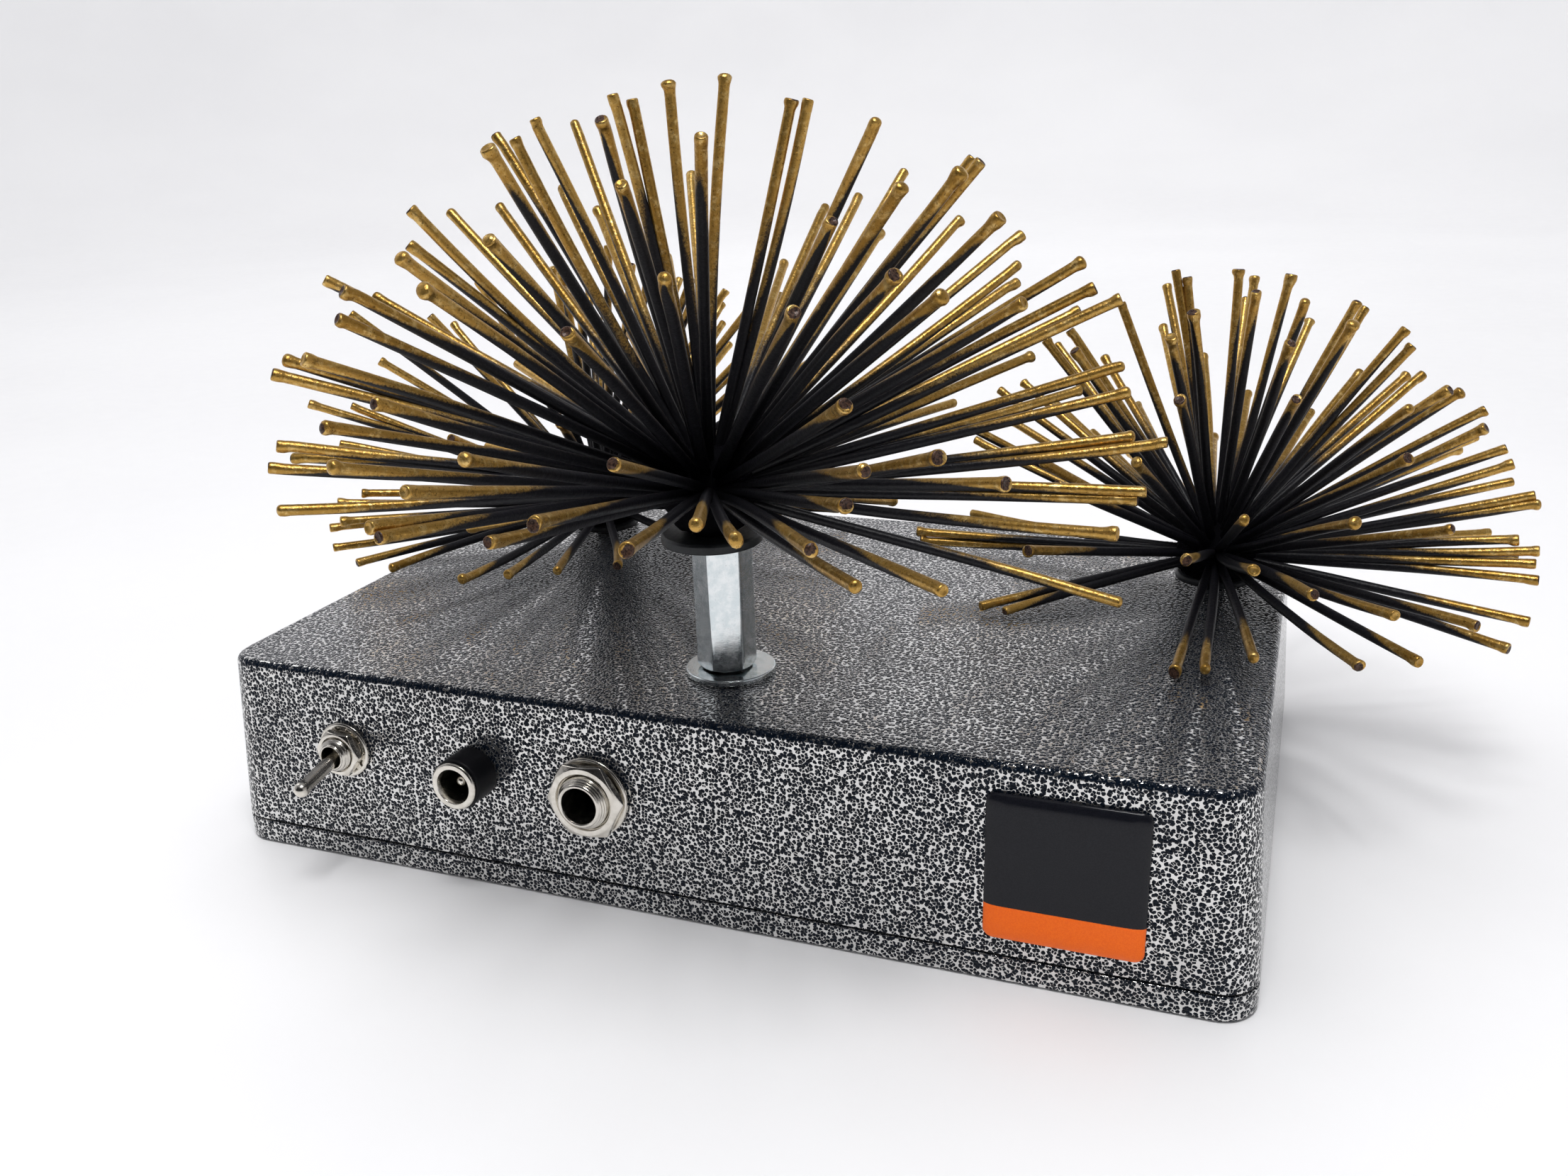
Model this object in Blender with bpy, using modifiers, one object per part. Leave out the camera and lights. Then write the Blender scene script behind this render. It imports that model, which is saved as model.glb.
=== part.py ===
"""Amplified rod-cluster idiophone: a die-cast metal box that carries two bursts of thin steel
rods on its lid-less top, with a power socket, a toggle switch and an output jack on its front.

Frame: origin at the centre of the bottom lid's underside, +X right seen from the front,
front towards -Y, +Z up.  All constants are in millimetres; meshes are built in metres.
"""
import math

import bmesh
import bpy
from mathutils import Matrix, Vector

# ----------------------------------------------------------------------------- dimensions (mm)
MM = 0.001
GAP = 0.3                      # air left between touching pieces

BOX_L, BOX_W, BOX_H = 188.0, 119.5, 37.5
LID_H = 4.6                    # height of the bottom lid
BODY_Z0 = LID_H + GAP
DRAFT = 1.4                    # the long sides lean in by this much over the body's height
END_DRAFT = 2.0                # the two ends lean in a little more
CORNER_R, TOP_EDGE_R = 6.2, 1.3
WALL, ROOF = 2.4, 2.6
ROOF_Z = BOX_H - ROOF          # underside of the roof
TILT = math.atan(DRAFT / (BOX_H - BODY_Z0))

PILLARS = [(-86.6, -52.6), (86.6, -52.6), (-86.6, 52.6), (86.6, 52.6), (0.0, -53.2), (0.0, 53.2)]
PILLAR_R = {True: 5.0, False: 4.5}       # corner pillars, side pillars
SCREW_R, SCREW_HOLE_R = 1.45, 1.75

FRONT_MID_Z = 21.2             # height at which the front face's own frame is placed
TOGGLE_X, TOGGLE_Z = -65.9, 22.7
POWER_X, POWER_Z = -38.4, 22.3
JACK_X, JACK_Z = -15.3, 21.2
BADGE_X, BADGE_Z, BADGE_SIDE, BADGE_T = 65.2, 20.6, 24.6, 1.3

TOGGLE_THROW = math.radians(13.0)        # lever's lean each side of the middle
LEVER_PIVOT = 1.6              # distance of the pivot in front of the panel
LEVER_REACH = 11.3             # pivot to the centre of the ball end
ROCKER_RATIO = 0.8
ROCKER_PIVOT = -8.6

POST_X, POST_Y = 1.75, -37.7   # axis of the front rod cluster's post
WASHER_X, WASHER_Y = 2.3, -37.5          # its washer sits a little off that axis
POST_NUT_AF = 9.2
POST_NUT_Z = (39.2, 61.3)
POST_YAW = math.radians(-3.8)
PLATE_R = 8.7                  # round plate that the front cluster is welded to
BOLT_R, BOLT_HOLE_R = 2.35, 2.65

ROD_R = 0.93                   # six-sided stand-in for a 1.75 mm round rod
HUB_1 = Vector((0.2, -37.9, 70.5))
HUB_2 = Vector((78.2, 34.9, 42.9))
HUB_3 = Vector((-61.5, 36.5, 42.9))
BALL_1, BALL_2, BALL_3 = 8.5, 8.0, 8.0   # weld balls that the rods grow from
REACH_1, REACH_2, REACH_3 = 69.0, 56.0, 60.0   # usual hub-to-tip length of a rod
ROD_FLOOR = BOX_H + GAP + ROD_R + 0.25   # lowest height of a rod's tip centre

# ------------------------------------------------------------- where the rod tips are sighted
# Tips are laid out by sighting them from one eye point: (across, down, side).  Across and down
# are measured on a picture plane FOCAL units in front of the eye; side is 1 for a rod leaning
# towards the eye, -1 for one leaning away and 0 for one on the cluster's outline.
EYE = Vector((92.54, -239.57, 131.41))
EYE_RIGHT = Vector((0.9340, 0.3558, -0.0330)).normalized()
EYE_BACK = Vector((0.3457, -0.8763, 0.3355)).normalized()
EYE_UP = EYE_BACK.cross(EYE_RIGHT).normalized()
FOCAL, EYE_U, EYE_V = 1921.5, 1106.0, 829.5

TIPS_1 = [
    (583, 298, 0), (636, 300, -1), (702, 193, -1), (692, 212, 1), (706, 293, -1), (690, 338, 1),
    (728, 200, 0), (755, 173, 0), (811, 174, -1), (851, 172, 1), (866, 138, 0), (893, 145, 0),
    (792, 265, -1), (844, 297, -1), (878, 263, 1), (944, 118, 0), (974, 247, -1), (989, 196, 1),
    (1023, 109, 0), (1116, 145, 0), (1139, 145, 0), (1236, 172, 1), (1163, 293, -1), (1172, 315, 1),
    (1211, 279, -1), (1275, 243, -1), (1272, 265, 1), (1241, 328, -1), (1370, 227, 0),
    (1381, 232, 1), (1355, 243, 1), (1352, 311, -1), (1408, 309, 1), (1438, 332, -1),
    (1436, 374, -1), (1432, 398, -1), (1526, 370, 0), (1540, 407, 0), (1328, 418, 1),
    (1440, 429, 1), (1519, 440, -1), (1577, 424, 0), (1453, 503, -1), (1581, 516, 1),
    (1521, 551, -1), (1590, 554, 0), (1642, 625, 0), (1344, 569, -1), (1596, 616, -1),
    (1600, 705, 1), (1612, 694, -1), (1415, 682, 1), (1322, 645, 1), (1571, 753, 1), (1578, 850, 1),
    (1328, 832, 1), (1208, 828, 1), (1143, 776, 1), (1192, 713, 1), (1219, 665, 1), (1190, 573, 1),
    (1120, 443, 1), (1262, 391, 1), (936, 393, 1), (802, 471, 1), (1036, 760, 1), (984, 740, 1),
    (886, 774, 1), (866, 656, 1), (757, 736, 1), (692, 766, 1), (537, 758, 1), (525, 742, 1),
    (576, 694, 1), (396, 628, 0), (415, 645, -1), (384, 661, 0), (468, 660, 1), (396, 720, 0),
    (458, 602, 1), (389, 529, 0), (404, 508, 0), (433, 508, 1), (531, 568, 1), (482, 452, 1),
    (463, 397, 0), (489, 410, 1), (532, 420, -1), (598, 408, 1), (566, 364, 1), (581, 348, 0),
    (654, 648, 1), (1106, 373, -1), (1100, 418, -1),
]
TIPS_2 = [
    (1659, 385, 0), (1646, 405, -1), (1675, 395, 0), (1684, 443, 1), (1641, 461, -1), (1652, 477, 1),
    (1748, 384, 0), (1770, 394, -1), (1772, 415, 1), (1757, 424, -1), (1820, 391, 0), (1842, 426, 1),
    (1848, 453, -1), (1818, 487, 1), (1665, 564, 1), (1828, 564, 1), (1848, 583, -1), (1890, 597, -1),
    (1914, 428, 0), (1924, 437, -1), (1909, 457, 1), (1981, 467, 0), (1990, 491, 0), (1917, 527, -1),
    (1984, 530, -1), (2005, 529, -1), (2041, 551, 1), (2060, 553, 0), (1988, 576, 1), (2092, 580, 0),
    (2092, 605, 1), (2080, 618, -1), (2056, 633, -1), (1985, 648, 1), (2121, 634, 0), (2131, 656, 0),
    (2130, 680, -1), (2161, 699, 0), (2169, 710, 0), (1912, 738, 1), (2047, 748, 1), (2098, 752, -1),
    (2138, 761, 0), (2167, 777, 0), (2162, 795, 0), (2137, 785, -1), (2166, 818, 0), (2081, 881, 1),
    (2153, 876, 0), (1965, 867, 1), (2124, 914, 1), (1999, 932, 1), (1916, 938, 1), (1850, 839, 1),
    (1768, 803, 1), (1674, 789, 1), (1658, 946, 1), (1698, 944, 1), (1768, 928, 1), (1756, 734, 1),
    (1602, 653, 1), (1452, 776, 1), (1387, 854, -1), (1420, 861, -1), (1297, 750, -1), (1302, 763, -1),
    (1583, 431, 0), (1512, 468, 0), (1477, 482, 0), (1492, 487, -1), (1518, 496, 1), (1444, 540, -1),
    (1412, 552, -1), (1352, 593, -1), (1378, 622, -1), (1374, 724, -1), (1424, 592, -1), (1605, 572, -1),
    (1472, 653, 1), (1494, 685, 1),
]
TIPS_3 = [
    (469, 744, 1), (474, 772, 1), (507, 793, 1), (553, 801, 1), (652, 818, 1), (717, 810, 1),
    (786, 805, 1), (872, 797, 1), (480, 709, 1), (514, 696, 0), (524, 712, 1), (484, 735, 1),
    (439, 571, 0), (499, 574, 0), (483, 626, 0), (638, 619, 1), (652, 558, -1), (539, 511, 0),
    (498, 444, 0), (609, 448, 0), (640, 459, -1), (676, 399, 0), (685, 412, -1), (725, 455, -1),
    (780, 379, 0), (793, 388, -1), (830, 405, -1), (845, 452, -1), (916, 371, 0), (958, 396, -1),
    (1018, 430, -1), (1019, 457, -1), (1029, 486, -1),
]

# --------------------------------------------------------------------------------- collections
for old in list(bpy.data.objects):
    bpy.data.objects.remove(old, do_unlink=True)
for old in list(bpy.data.collections):
    bpy.data.collections.remove(old)

PARTS = bpy.data.collections.new("amplified_rod_cluster_box")
CUTTERS = bpy.data.collections.new("cutters")
bpy.context.scene.collection.children.link(PARTS)
bpy.context.scene.collection.children.link(CUTTERS)


# ----------------------------------------------------------------------------------- materials
def material(name, color, rough, metal=0.0):
    mat = bpy.data.materials.new(name)
    mat.use_nodes = True
    bsdf = mat.node_tree.nodes["Principled BSDF"]
    bsdf.inputs["Base Color"].default_value = (*color, 1.0)
    bsdf.inputs["Roughness"].default_value = rough
    bsdf.inputs["Metallic"].default_value = metal
    mat.diffuse_color = (*color, 1.0)
    return mat


VEIN = material("vein_paint", (0.36, 0.37, 0.39), 0.25, 0.3)
ROD_PAINT = material("rod_black_and_gold", (0.09, 0.075, 0.05), 0.35, 0.5)
BLACK_METAL = material("black_metal", (0.03, 0.03, 0.035), 0.45, 0.5)
NICKEL = material("nickel", (0.78, 0.76, 0.70), 0.22, 1.0)
ZINC = material("zinc", (0.66, 0.68, 0.70), 0.35, 1.0)
STEEL = material("steel", (0.52, 0.53, 0.55), 0.38, 1.0)
BLACK_PLASTIC = material("black_plastic", (0.02, 0.02, 0.022), 0.5)
RED_PLASTIC = material("red_phenolic", (0.30, 0.06, 0.04), 0.5)
TIN = material("tinned_contact", (0.72, 0.72, 0.70), 0.3, 1.0)
BADGE = material("domed_badge", (0.03, 0.03, 0.03), 0.12)
BOARD = material("circuit_board", (0.04, 0.16, 0.08), 0.45)
BRASS = material("brass", (0.75, 0.56, 0.24), 0.35, 1.0)
CERAMIC = material("white_ceramic", (0.85, 0.84, 0.80), 0.6)
CAPACITOR = material("capacitor_sleeve", (0.04, 0.06, 0.15), 0.4)
WIRE_RED = material("wire_red", (0.55, 0.03, 0.02), 0.5)
WIRE_BLACK = material("wire_black", (0.02, 0.02, 0.02), 0.5)
WIRE_GREY = material("wire_grey", (0.35, 0.35, 0.36), 0.5)


# ------------------------------------------------------------------------------------- helpers
def link(name, mesh, mat, parent=None, loc=(0, 0, 0), rot=(0, 0, 0), cutter=False):
    ob = bpy.data.objects.new(name, mesh)
    (CUTTERS if cutter else PARTS).objects.link(ob)
    if mat is not None:
        mesh.materials.clear()
        mesh.materials.append(mat)
    ob.parent = parent
    ob.location = Vector(loc) * MM
    ob.rotation_euler = rot
    if cutter:
        ob.hide_render = True
        ob.display_type = "WIRE"
    return ob


def empty(name, loc, rot=(0, 0, 0), parent=None):
    ob = bpy.data.objects.new(name, None)
    PARTS.objects.link(ob)
    ob.parent = parent
    ob.location = Vector(loc) * MM
    ob.rotation_euler = rot
    return ob


def mesh_of(bm, name, smooth=35.0):
    bmesh.ops.recalc_face_normals(bm, faces=bm.faces)
    me = bpy.data.meshes.new(name)
    bm.to_mesh(me)
    bm.free()
    if smooth:
        me.shade_smooth()
        me.set_sharp_from_angle(angle=math.radians(smooth))
    return me


def add_box(bm, low, high):
    low, high = Vector(low) * MM, Vector(high) * MM
    size = high - low
    mat = Matrix.Translation((low + high) / 2) @ Matrix.Diagonal((*size, 1.0))
    return bmesh.ops.create_cube(bm, size=1.0, matrix=mat)["verts"]


def add_rod(bm, p, q, r, seg, r_end=None):
    """A cylinder (or cone) from p to q, both in mm."""
    p, q = Vector(p) * MM, Vector(q) * MM
    d = q - p
    mat = Matrix.Translation((p + q) / 2) @ d.to_track_quat("Z", "Y").to_matrix().to_4x4()
    return bmesh.ops.create_cone(bm, cap_ends=True, cap_tris=False, segments=seg, radius1=r * MM,
                                 radius2=(r if r_end is None else r_end) * MM, depth=d.length,
                                 matrix=mat)["verts"]


def boxes(name, specs, mat, bevel=0.0, **kw):
    """One or more boxes, each (low, high); bevel rounds the edges of a single box."""
    bm = bmesh.new()
    for low, high in specs:
        add_box(bm, low, high)
    ob = link(name, mesh_of(bm, name, 0), mat, **kw)
    if bevel:
        mod = ob.modifiers.new("edge_round", "BEVEL")
        mod.width, mod.segments, mod.limit_method = bevel * MM, 2, "ANGLE"
    return ob


def rods(name, specs, mat, seg=16, **kw):
    """One or more cylinders, each (p, q, radius)."""
    bm = bmesh.new()
    for p, q, r in specs:
        add_rod(bm, p, q, r, seg)
    return link(name, mesh_of(bm, name), mat, **kw)


def turned(name, profile, mat, steps=24, ring=False, **kw):
    """A turned piece: profile is (radius, height) down the outer side, from top to bottom."""
    me = bpy.data.meshes.new(name)
    verts = [(r * MM, 0.0, z * MM) for r, z in profile]
    edges = [(i, i + 1) for i in range(len(verts) - 1)]
    if ring:
        edges.append((len(verts) - 1, 0))
    me.from_pydata(verts, edges, [])
    ob = link(name, me, mat, **kw)
    mod = ob.modifiers.new("turn", "SCREW")
    mod.axis, mod.angle, mod.screw_offset = "Z", 2 * math.pi, 0.0
    mod.steps = mod.render_steps = steps
    mod.use_merge_vertices, mod.merge_threshold = True, 0.00001
    mod.use_smooth_shade = True
    # the turned surface is made real, so that its flat and round faces can be shaded apart
    bpy.context.view_layer.update()
    deps = bpy.context.evaluated_depsgraph_get()
    real = bpy.data.meshes.new_from_object(ob.evaluated_get(deps))
    ob.modifiers.clear()
    ob.data = real
    real.name = name
    bpy.data.meshes.remove(me)
    real.shade_smooth()
    real.set_sharp_from_angle(angle=math.radians(35))
    return ob


def combine(ob, other, operation="DIFFERENCE", name="cut"):
    mod = ob.modifiers.new(name, "BOOLEAN")
    mod.operation, mod.object, mod.solver = operation, other, "EXACT"
    return mod


def hexagon(name, af, z0, z1, bore, mat, yaw=0.0, chamfer=0.0, **kw):
    """A hexagon nut with its flats af apart, from z0 to z1, with a round hole through it."""
    bm = bmesh.new()
    r = af / math.sqrt(3)
    mat4 = Matrix.Translation((0, 0, (z0 + z1) / 2 * MM)) @ Matrix.Rotation(yaw, 4, "Z")
    bmesh.ops.create_cone(bm, cap_ends=True, cap_tris=False, segments=6, radius1=r * MM,
                          radius2=r * MM, depth=(z1 - z0) * MM, matrix=mat4)
    ob = link(name, mesh_of(bm, name, 0), mat, **kw)
    if chamfer:
        # the corners are turned off by the common volume with a barrel
        barrel = turned("cutter_" + name + "_corners",
                        [(0, z1 + 0.01), (af / 2 + 0.05, z1 + 0.01), (r + 0.1, z1 - chamfer),
                         (r + 0.1, z0 + chamfer), (af / 2 + 0.05, z0 - 0.01), (0, z0 - 0.01)],
                        None, 16, cutter=True, **kw)
        combine(ob, barrel, "INTERSECT", "corners")
    if bore:
        hole = rods("cutter_" + name + "_bore", [((0, 0, z0 - 1), (0, 0, z1 + 1), bore)], None, 14,
                    cutter=True, **kw)
        combine(ob, hole, name="bore")
    return ob


def side_inset(z, total=DRAFT):
    """How far the drafted wall has leaned in at height z."""
    return total * (z - BODY_Z0) / (BOX_H - BODY_Z0)


def shell_solid(name, z0, z1, inset, corner, top_round, mat, cutter=False, bottom_round=0.0,
                draft=True):
    """A rounded, drafted block of the box's outline, inset on all sides."""
    bm = bmesh.new()
    add_box(bm, (-1, -1, z0), (1, 1, z1))
    for v in bm.verts:
        z = v.co.z / MM
        lean_x, lean_y = (side_inset(z, END_DRAFT), side_inset(z)) if draft else (0.0, 0.0)
        v.co.x = math.copysign((BOX_L / 2 - inset - lean_x) * MM, v.co.x)
        v.co.y = math.copysign((BOX_W / 2 - inset - lean_y) * MM, v.co.y)
    upright = [e for e in bm.edges if abs(e.verts[0].co.z - e.verts[1].co.z) > 0.0005]
    bmesh.ops.bevel(bm, geom=upright, offset=corner * MM, segments=4, profile=0.5,
                    affect="EDGES", clamp_overlap=True)
    for level, radius in ((z1, top_round), (z0, bottom_round)):
        if radius:
            rim = [e for e in bm.edges if all(abs(v.co.z - level * MM) < 1e-6 for v in e.verts)]
            bmesh.ops.bevel(bm, geom=rim, offset=radius * MM, segments=2, profile=0.5,
                            affect="EDGES", clamp_overlap=True)
    return link(name, mesh_of(bm, name), mat, cutter=cutter)


def wire(name, points, mat, radius=0.55, segs=10):
    """A wire through a few points, read from a smooth curve and swept round."""
    pts = [Vector(p) for p in points]
    route = []
    for i in range(segs + 1):
        t = i / segs * (len(pts) - 1)
        k = min(int(t), len(pts) - 2)
        u = t - k
        p0, p1, p2, p3 = (pts[max(k - 1, 0)], pts[k], pts[k + 1], pts[min(k + 2, len(pts) - 1)])
        route.append(0.5 * ((2 * p1) + (p2 - p0) * u + (2 * p0 - 5 * p1 + 4 * p2 - p3) * u * u
                            + (3 * p1 - p0 - 3 * p2 + p3) * u ** 3))
    cu = bpy.data.curves.new(name, "CURVE")
    cu.dimensions, cu.bevel_depth, cu.bevel_resolution = "3D", radius * MM, 1
    cu.use_fill_caps = True
    sp = cu.splines.new("POLY")
    sp.points.add(len(route) - 1)
    for p, co in zip(sp.points, route):
        p.co = (*(co * MM), 1.0)
    tmp = bpy.data.objects.new(name + "_route", cu)
    PARTS.objects.link(tmp)
    bpy.context.view_layer.update()
    deps = bpy.context.evaluated_depsgraph_get()
    me = bpy.data.meshes.new_from_object(tmp.evaluated_get(deps))
    bm = bmesh.new()
    bm.from_mesh(me)
    bmesh.ops.remove_doubles(bm, verts=bm.verts, dist=0.00002)
    mesh = mesh_of(bm, name)
    ob = link(name, mesh, mat)
    ob.matrix_world = tmp.matrix_world
    bpy.data.objects.remove(tmp, do_unlink=True)
    bpy.data.meshes.remove(me)
    return ob


# ------------------------------------------------------------------------------------ the box
body = shell_solid("enclosure_body", BODY_Z0, BOX_H, 0.0, CORNER_R, TOP_EDGE_R, VEIN)
cavity = shell_solid("cutter_cavity", BODY_Z0 - 3, ROOF_Z, WALL, CORNER_R - WALL, 0.8, None, True)
combine(body, cavity, name="cavity")
pillars = rods("cutter_pillars",
               [((x, y, BODY_Z0 + GAP), (x, y, ROOF_Z + 1.1), PILLAR_R[abs(x) > 1])
                for x, y in PILLARS], None, 12, cutter=True)
combine(body, pillars, "UNION", "pillars")
pillar_holes = rods("cutter_pillar_holes",
                    [((x, y, 0), (x, y, 22.5), SCREW_HOLE_R) for x, y in PILLARS], None, 8,
                    cutter=True)
combine(body, pillar_holes, name="screw_holes")

lid = shell_solid("enclosure_lid", 0.0, LID_H, 0.0, CORNER_R, 0.0, VEIN, False, 0.6, False)
tray = shell_solid("cutter_lid_tray", 2.2, LID_H + 3, WALL, CORNER_R - WALL, 0.0, None, True, 0.0,
                   False)
combine(lid, tray, name="tray")
pads = rods("cutter_lid_pads", [((x, y, 1.2), (x, y, BODY_Z0), PILLAR_R[abs(x) > 1] - 0.3)
                                for x, y in PILLARS], None, 12, cutter=True)
combine(lid, pads, "UNION", "pads")
lip_x, lip_y = BOX_L / 2 - WALL - 0.5, BOX_W / 2 - WALL - 0.5
lips = boxes("cutter_lid_lip", [
    ((-78, -lip_y, 1.4), (-8, -lip_y + 1.3, 7.0)), ((8, -lip_y, 1.4), (78, -lip_y + 1.3, 7.0)),
    ((-78, lip_y - 1.3, 1.4), (-8, lip_y, 7.0)), ((8, lip_y - 1.3, 1.4), (78, lip_y, 7.0)),
    ((-lip_x, -44, 1.4), (-lip_x + 1.3, 44, 7.0)), ((lip_x - 1.3, -44, 1.4), (lip_x, 44, 7.0))],
    None, cutter=True)
combine(lid, lips, "UNION", "lip")
lid_holes = turned("cutter_lid_hole_0", [(0, 8), (SCREW_HOLE_R, 8), (SCREW_HOLE_R, 2.55),
                                         (3.75, 0.45), (3.75, -1), (0, -1)], None, 12, cutter=True)
lid_hole_mesh = lid_holes.data
lid_holes.location = Vector((*PILLARS[0], 0)) * MM
combine(lid, lid_holes, name="screw_hole_0")
for i, (x, y) in enumerate(PILLARS[1:], 1):
    c = link("cutter_lid_hole_%d" % i, lid_hole_mesh, None, loc=(x, y, 0), cutter=True)
    combine(lid, c, name="screw_hole_%d" % i)

slot = boxes("cutter_screw_cross", [((-1.9, -0.35, -1), (1.9, 0.35, 1.2))], None, cutter=True)
slot_b = boxes("cutter_screw_cross_b", [((-0.35, -1.9, -1), (0.35, 1.9, 1.2))], None, cutter=True)
combine(slot, slot_b, "UNION", "cross")
bpy.context.view_layer.update()
cross_mesh = bpy.data.meshes.new_from_object(slot.evaluated_get(bpy.context.evaluated_depsgraph_get()))
bpy.data.objects.remove(slot, do_unlink=True)
bpy.data.objects.remove(slot_b, do_unlink=True)
screw_mesh = None
for i, (x, y) in enumerate(PILLARS, 1):
    prof = [(0, 18), (SCREW_R - 0.5, 18), (SCREW_R, 17), (SCREW_R, 2.5), (3.25, 0.65), (3.25, 0.35),
            (0, 0.35)]
    if screw_mesh is None:
        s = turned("lid_screw_1", prof, ZINC, 12, loc=(x, y, 0))
        screw_mesh = s.data
    else:
        s = link("lid_screw_%d" % i, screw_mesh, ZINC, loc=(x, y, 0))
    c = link("cutter_screw_drive_%d" % i, cross_mesh, None, loc=(x, y, 0), cutter=True)
    combine(s, c, name="drive")

# -------------------------------------------------------------- front face: its own slanted frame
front = empty("front_face_frame", (0, -BOX_W / 2 + side_inset(FRONT_MID_Z), FRONT_MID_Z),
              (math.pi / 2 - TILT, 0, 0))


def up_face(z):
    return (z - FRONT_MID_Z) / math.cos(TILT)


toggle_at = (TOGGLE_X, up_face(TOGGLE_Z), 0)
power_at = (POWER_X, up_face(POWER_Z), 0)
jack_at = (JACK_X, up_face(JACK_Z), 0)
badge_at = (BADGE_X, up_face(BADGE_Z), 0)

panel_holes = [("toggle", toggle_at, 3.35), ("power", power_at, 4.2), ("jack", jack_at, 5.05)]
for n, at, r in panel_holes:
    c = rods("cutter_panel_" + n, [((0, 0, -6), (0, 0, 4), r)], None, 20, parent=front, loc=at,
             cutter=True)
    combine(body, c, name="hole_" + n)
roof_holes = rods("cutter_roof_holes",
                  [((POST_X, POST_Y, ROOF_Z - 3), (POST_X, POST_Y, BOX_H + 3), BOLT_HOLE_R),
                   ((HUB_2.x, HUB_2.y, ROOF_Z - 3), (HUB_2.x, HUB_2.y, BOX_H + 3), BOLT_HOLE_R),
                   ((HUB_3.x, HUB_3.y, ROOF_Z - 3), (HUB_3.x, HUB_3.y, BOX_H + 3), BOLT_HOLE_R)],
                  None, 18, cutter=True)
combine(body, roof_holes, name="roof_holes")

# toggle switch --------------------------------------------------------------------------------
turned("toggle_washer", [(3.4, 0.9), (5.24, 0.9), (5.24, GAP), (3.4, GAP)], NICKEL, 20, True,
       parent=front, loc=toggle_at)
hexagon("toggle_nut", 8.0, 1.2, 3.0, 3.4, NICKEL, math.radians(25), 0.35, parent=front, loc=toggle_at)
bush = turned("toggle_bushing", [(0, 4.5), (2.6, 4.5), (3.05, 3.9), (3.05, -3.4), (0, -3.4)], NICKEL,
              20, parent=front, loc=toggle_at)
case = boxes("cutter_toggle_case_joint", [((-4.0, -6.6, -3.6), (4.0, 6.6, -2.7))], None,
             parent=front, loc=toggle_at, cutter=True)
combine(bush, case, "UNION", "top_plate")
bore = turned("cutter_toggle_bore", [(0, 5), (2.3, 5), (1.98, 3.9), (1.98, -0.6),
                                      (2.5, -3.0), (2.5, -5), (0, -5)], None, 16,
              parent=front, loc=toggle_at, cutter=True)
combine(bush, bore, name="bore")
case_ob = boxes("toggle_case", [((-4.0, -6.6, -12.4), (4.0, 6.6, -3.9))], RED_PLASTIC, parent=front,
                loc=toggle_at)
c = boxes("cutter_toggle_case", [((-3.0, -5.6, -11.2), (3.0, 5.6, -2.0))], None, parent=front,
          loc=toggle_at, cutter=True)
combine(case_ob, c, name="room")
c = boxes("cutter_toggle_slots", [((-1.3, y - 0.7, -14), (1.3, y + 0.7, -10)) for y in (-4.6, 0, 4.6)],
          None, parent=front, loc=toggle_at, cutter=True)
combine(case_ob, c, name="terminal_slots")
for i, y in enumerate((-4.6, 0.0, 4.6), 1):
    t = boxes("toggle_terminal_%d" % i, [((-1.0, y - 0.4, -16.8), (1.0, y + 0.4, -9.9 if y else -9.15))], TIN,
              parent=front, loc=toggle_at)
    c = rods("cutter_terminal_eye_%d" % i, [((0, y - 2, -15.2), (0, y + 2, -15.2), 0.55)], None, 8,
             parent=front, loc=toggle_at, cutter=True)
    combine(t, c, name="eye")

# the lever turns on this pivot, and its inner end works the contact rocker behind it
pivot = empty("toggle_pivot", (toggle_at[0], toggle_at[1], LEVER_PIVOT), (TOGGLE_THROW, 0, 0), front)
lever = turned("toggle_lever", [
    (0, LEVER_REACH + 1.4), (0.71, LEVER_REACH + 1.22), (1.22, LEVER_REACH + 0.7),
    (1.42, LEVER_REACH), (1.32, LEVER_REACH - 0.6), (1.22, LEVER_REACH - 1.1),
    (1.3, 4.6), (1.05, 1.35), (1.4, 0.8), (1.62, 0), (1.4, -0.8), (0.6, -1.5),
    (0.55, -7.7), (0, -8.1)], NICKEL, 12, parent=pivot)
rocker_pivot = empty("rocker_pivot", (toggle_at[0], toggle_at[1], ROCKER_PIVOT),
                     (-TOGGLE_THROW * ROCKER_RATIO, 0, 0), front)
rocker = boxes("toggle_rocker", [((-1.6, -3.9, -0.25), (1.6, 3.9, 0.25))], TIN, parent=rocker_pivot)

# power socket ---------------------------------------------------------------------------------
barrel = turned("power_socket_body", [
    (0, 6.1), (4.3, 6.1), (4.6, 5.8), (4.6, GAP), (3.85, GAP), (3.85, -8.2), (3.4, -8.6),
    (0, -8.6)], BLACK_PLASTIC, 22, parent=front, loc=power_at)
bore = turned("cutter_power_bore", [(0, 8), (3.75, 8), (3.75, 1.0), (2.9, 1.0), (2.9, -5.6), (0, -5.6)],
              None, 20, parent=front, loc=power_at, cutter=True)
combine(barrel, bore, name="bore")
hole = rods("cutter_power_pin_hole", [((0, 0, -12), (0, 0, 0), 1.25)], None, 12, parent=front,
            loc=power_at, cutter=True)
combine(barrel, hole, name="pin_hole")
turned("power_socket_ring", [(3.25, 6.95), (4.1, 6.95), (4.3, 6.75), (4.3, 6.4), (3.42, 6.4),
                             (3.42, 1.3), (2.9, 1.3), (2.9, 6.2)], NICKEL, 22, True, parent=front,
       loc=power_at)
turned("power_socket_pin", [(0, 4.9), (0.6, 4.7), (0.95, 4.2), (0.95, -11.6), (0, -11.6)], NICKEL, 12,
       parent=front, loc=power_at)
hexagon("power_socket_nut", 10.5, -4.9, -2.7, 4.15, NICKEL, 0.0, 0.3, parent=front, loc=power_at)
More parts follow.
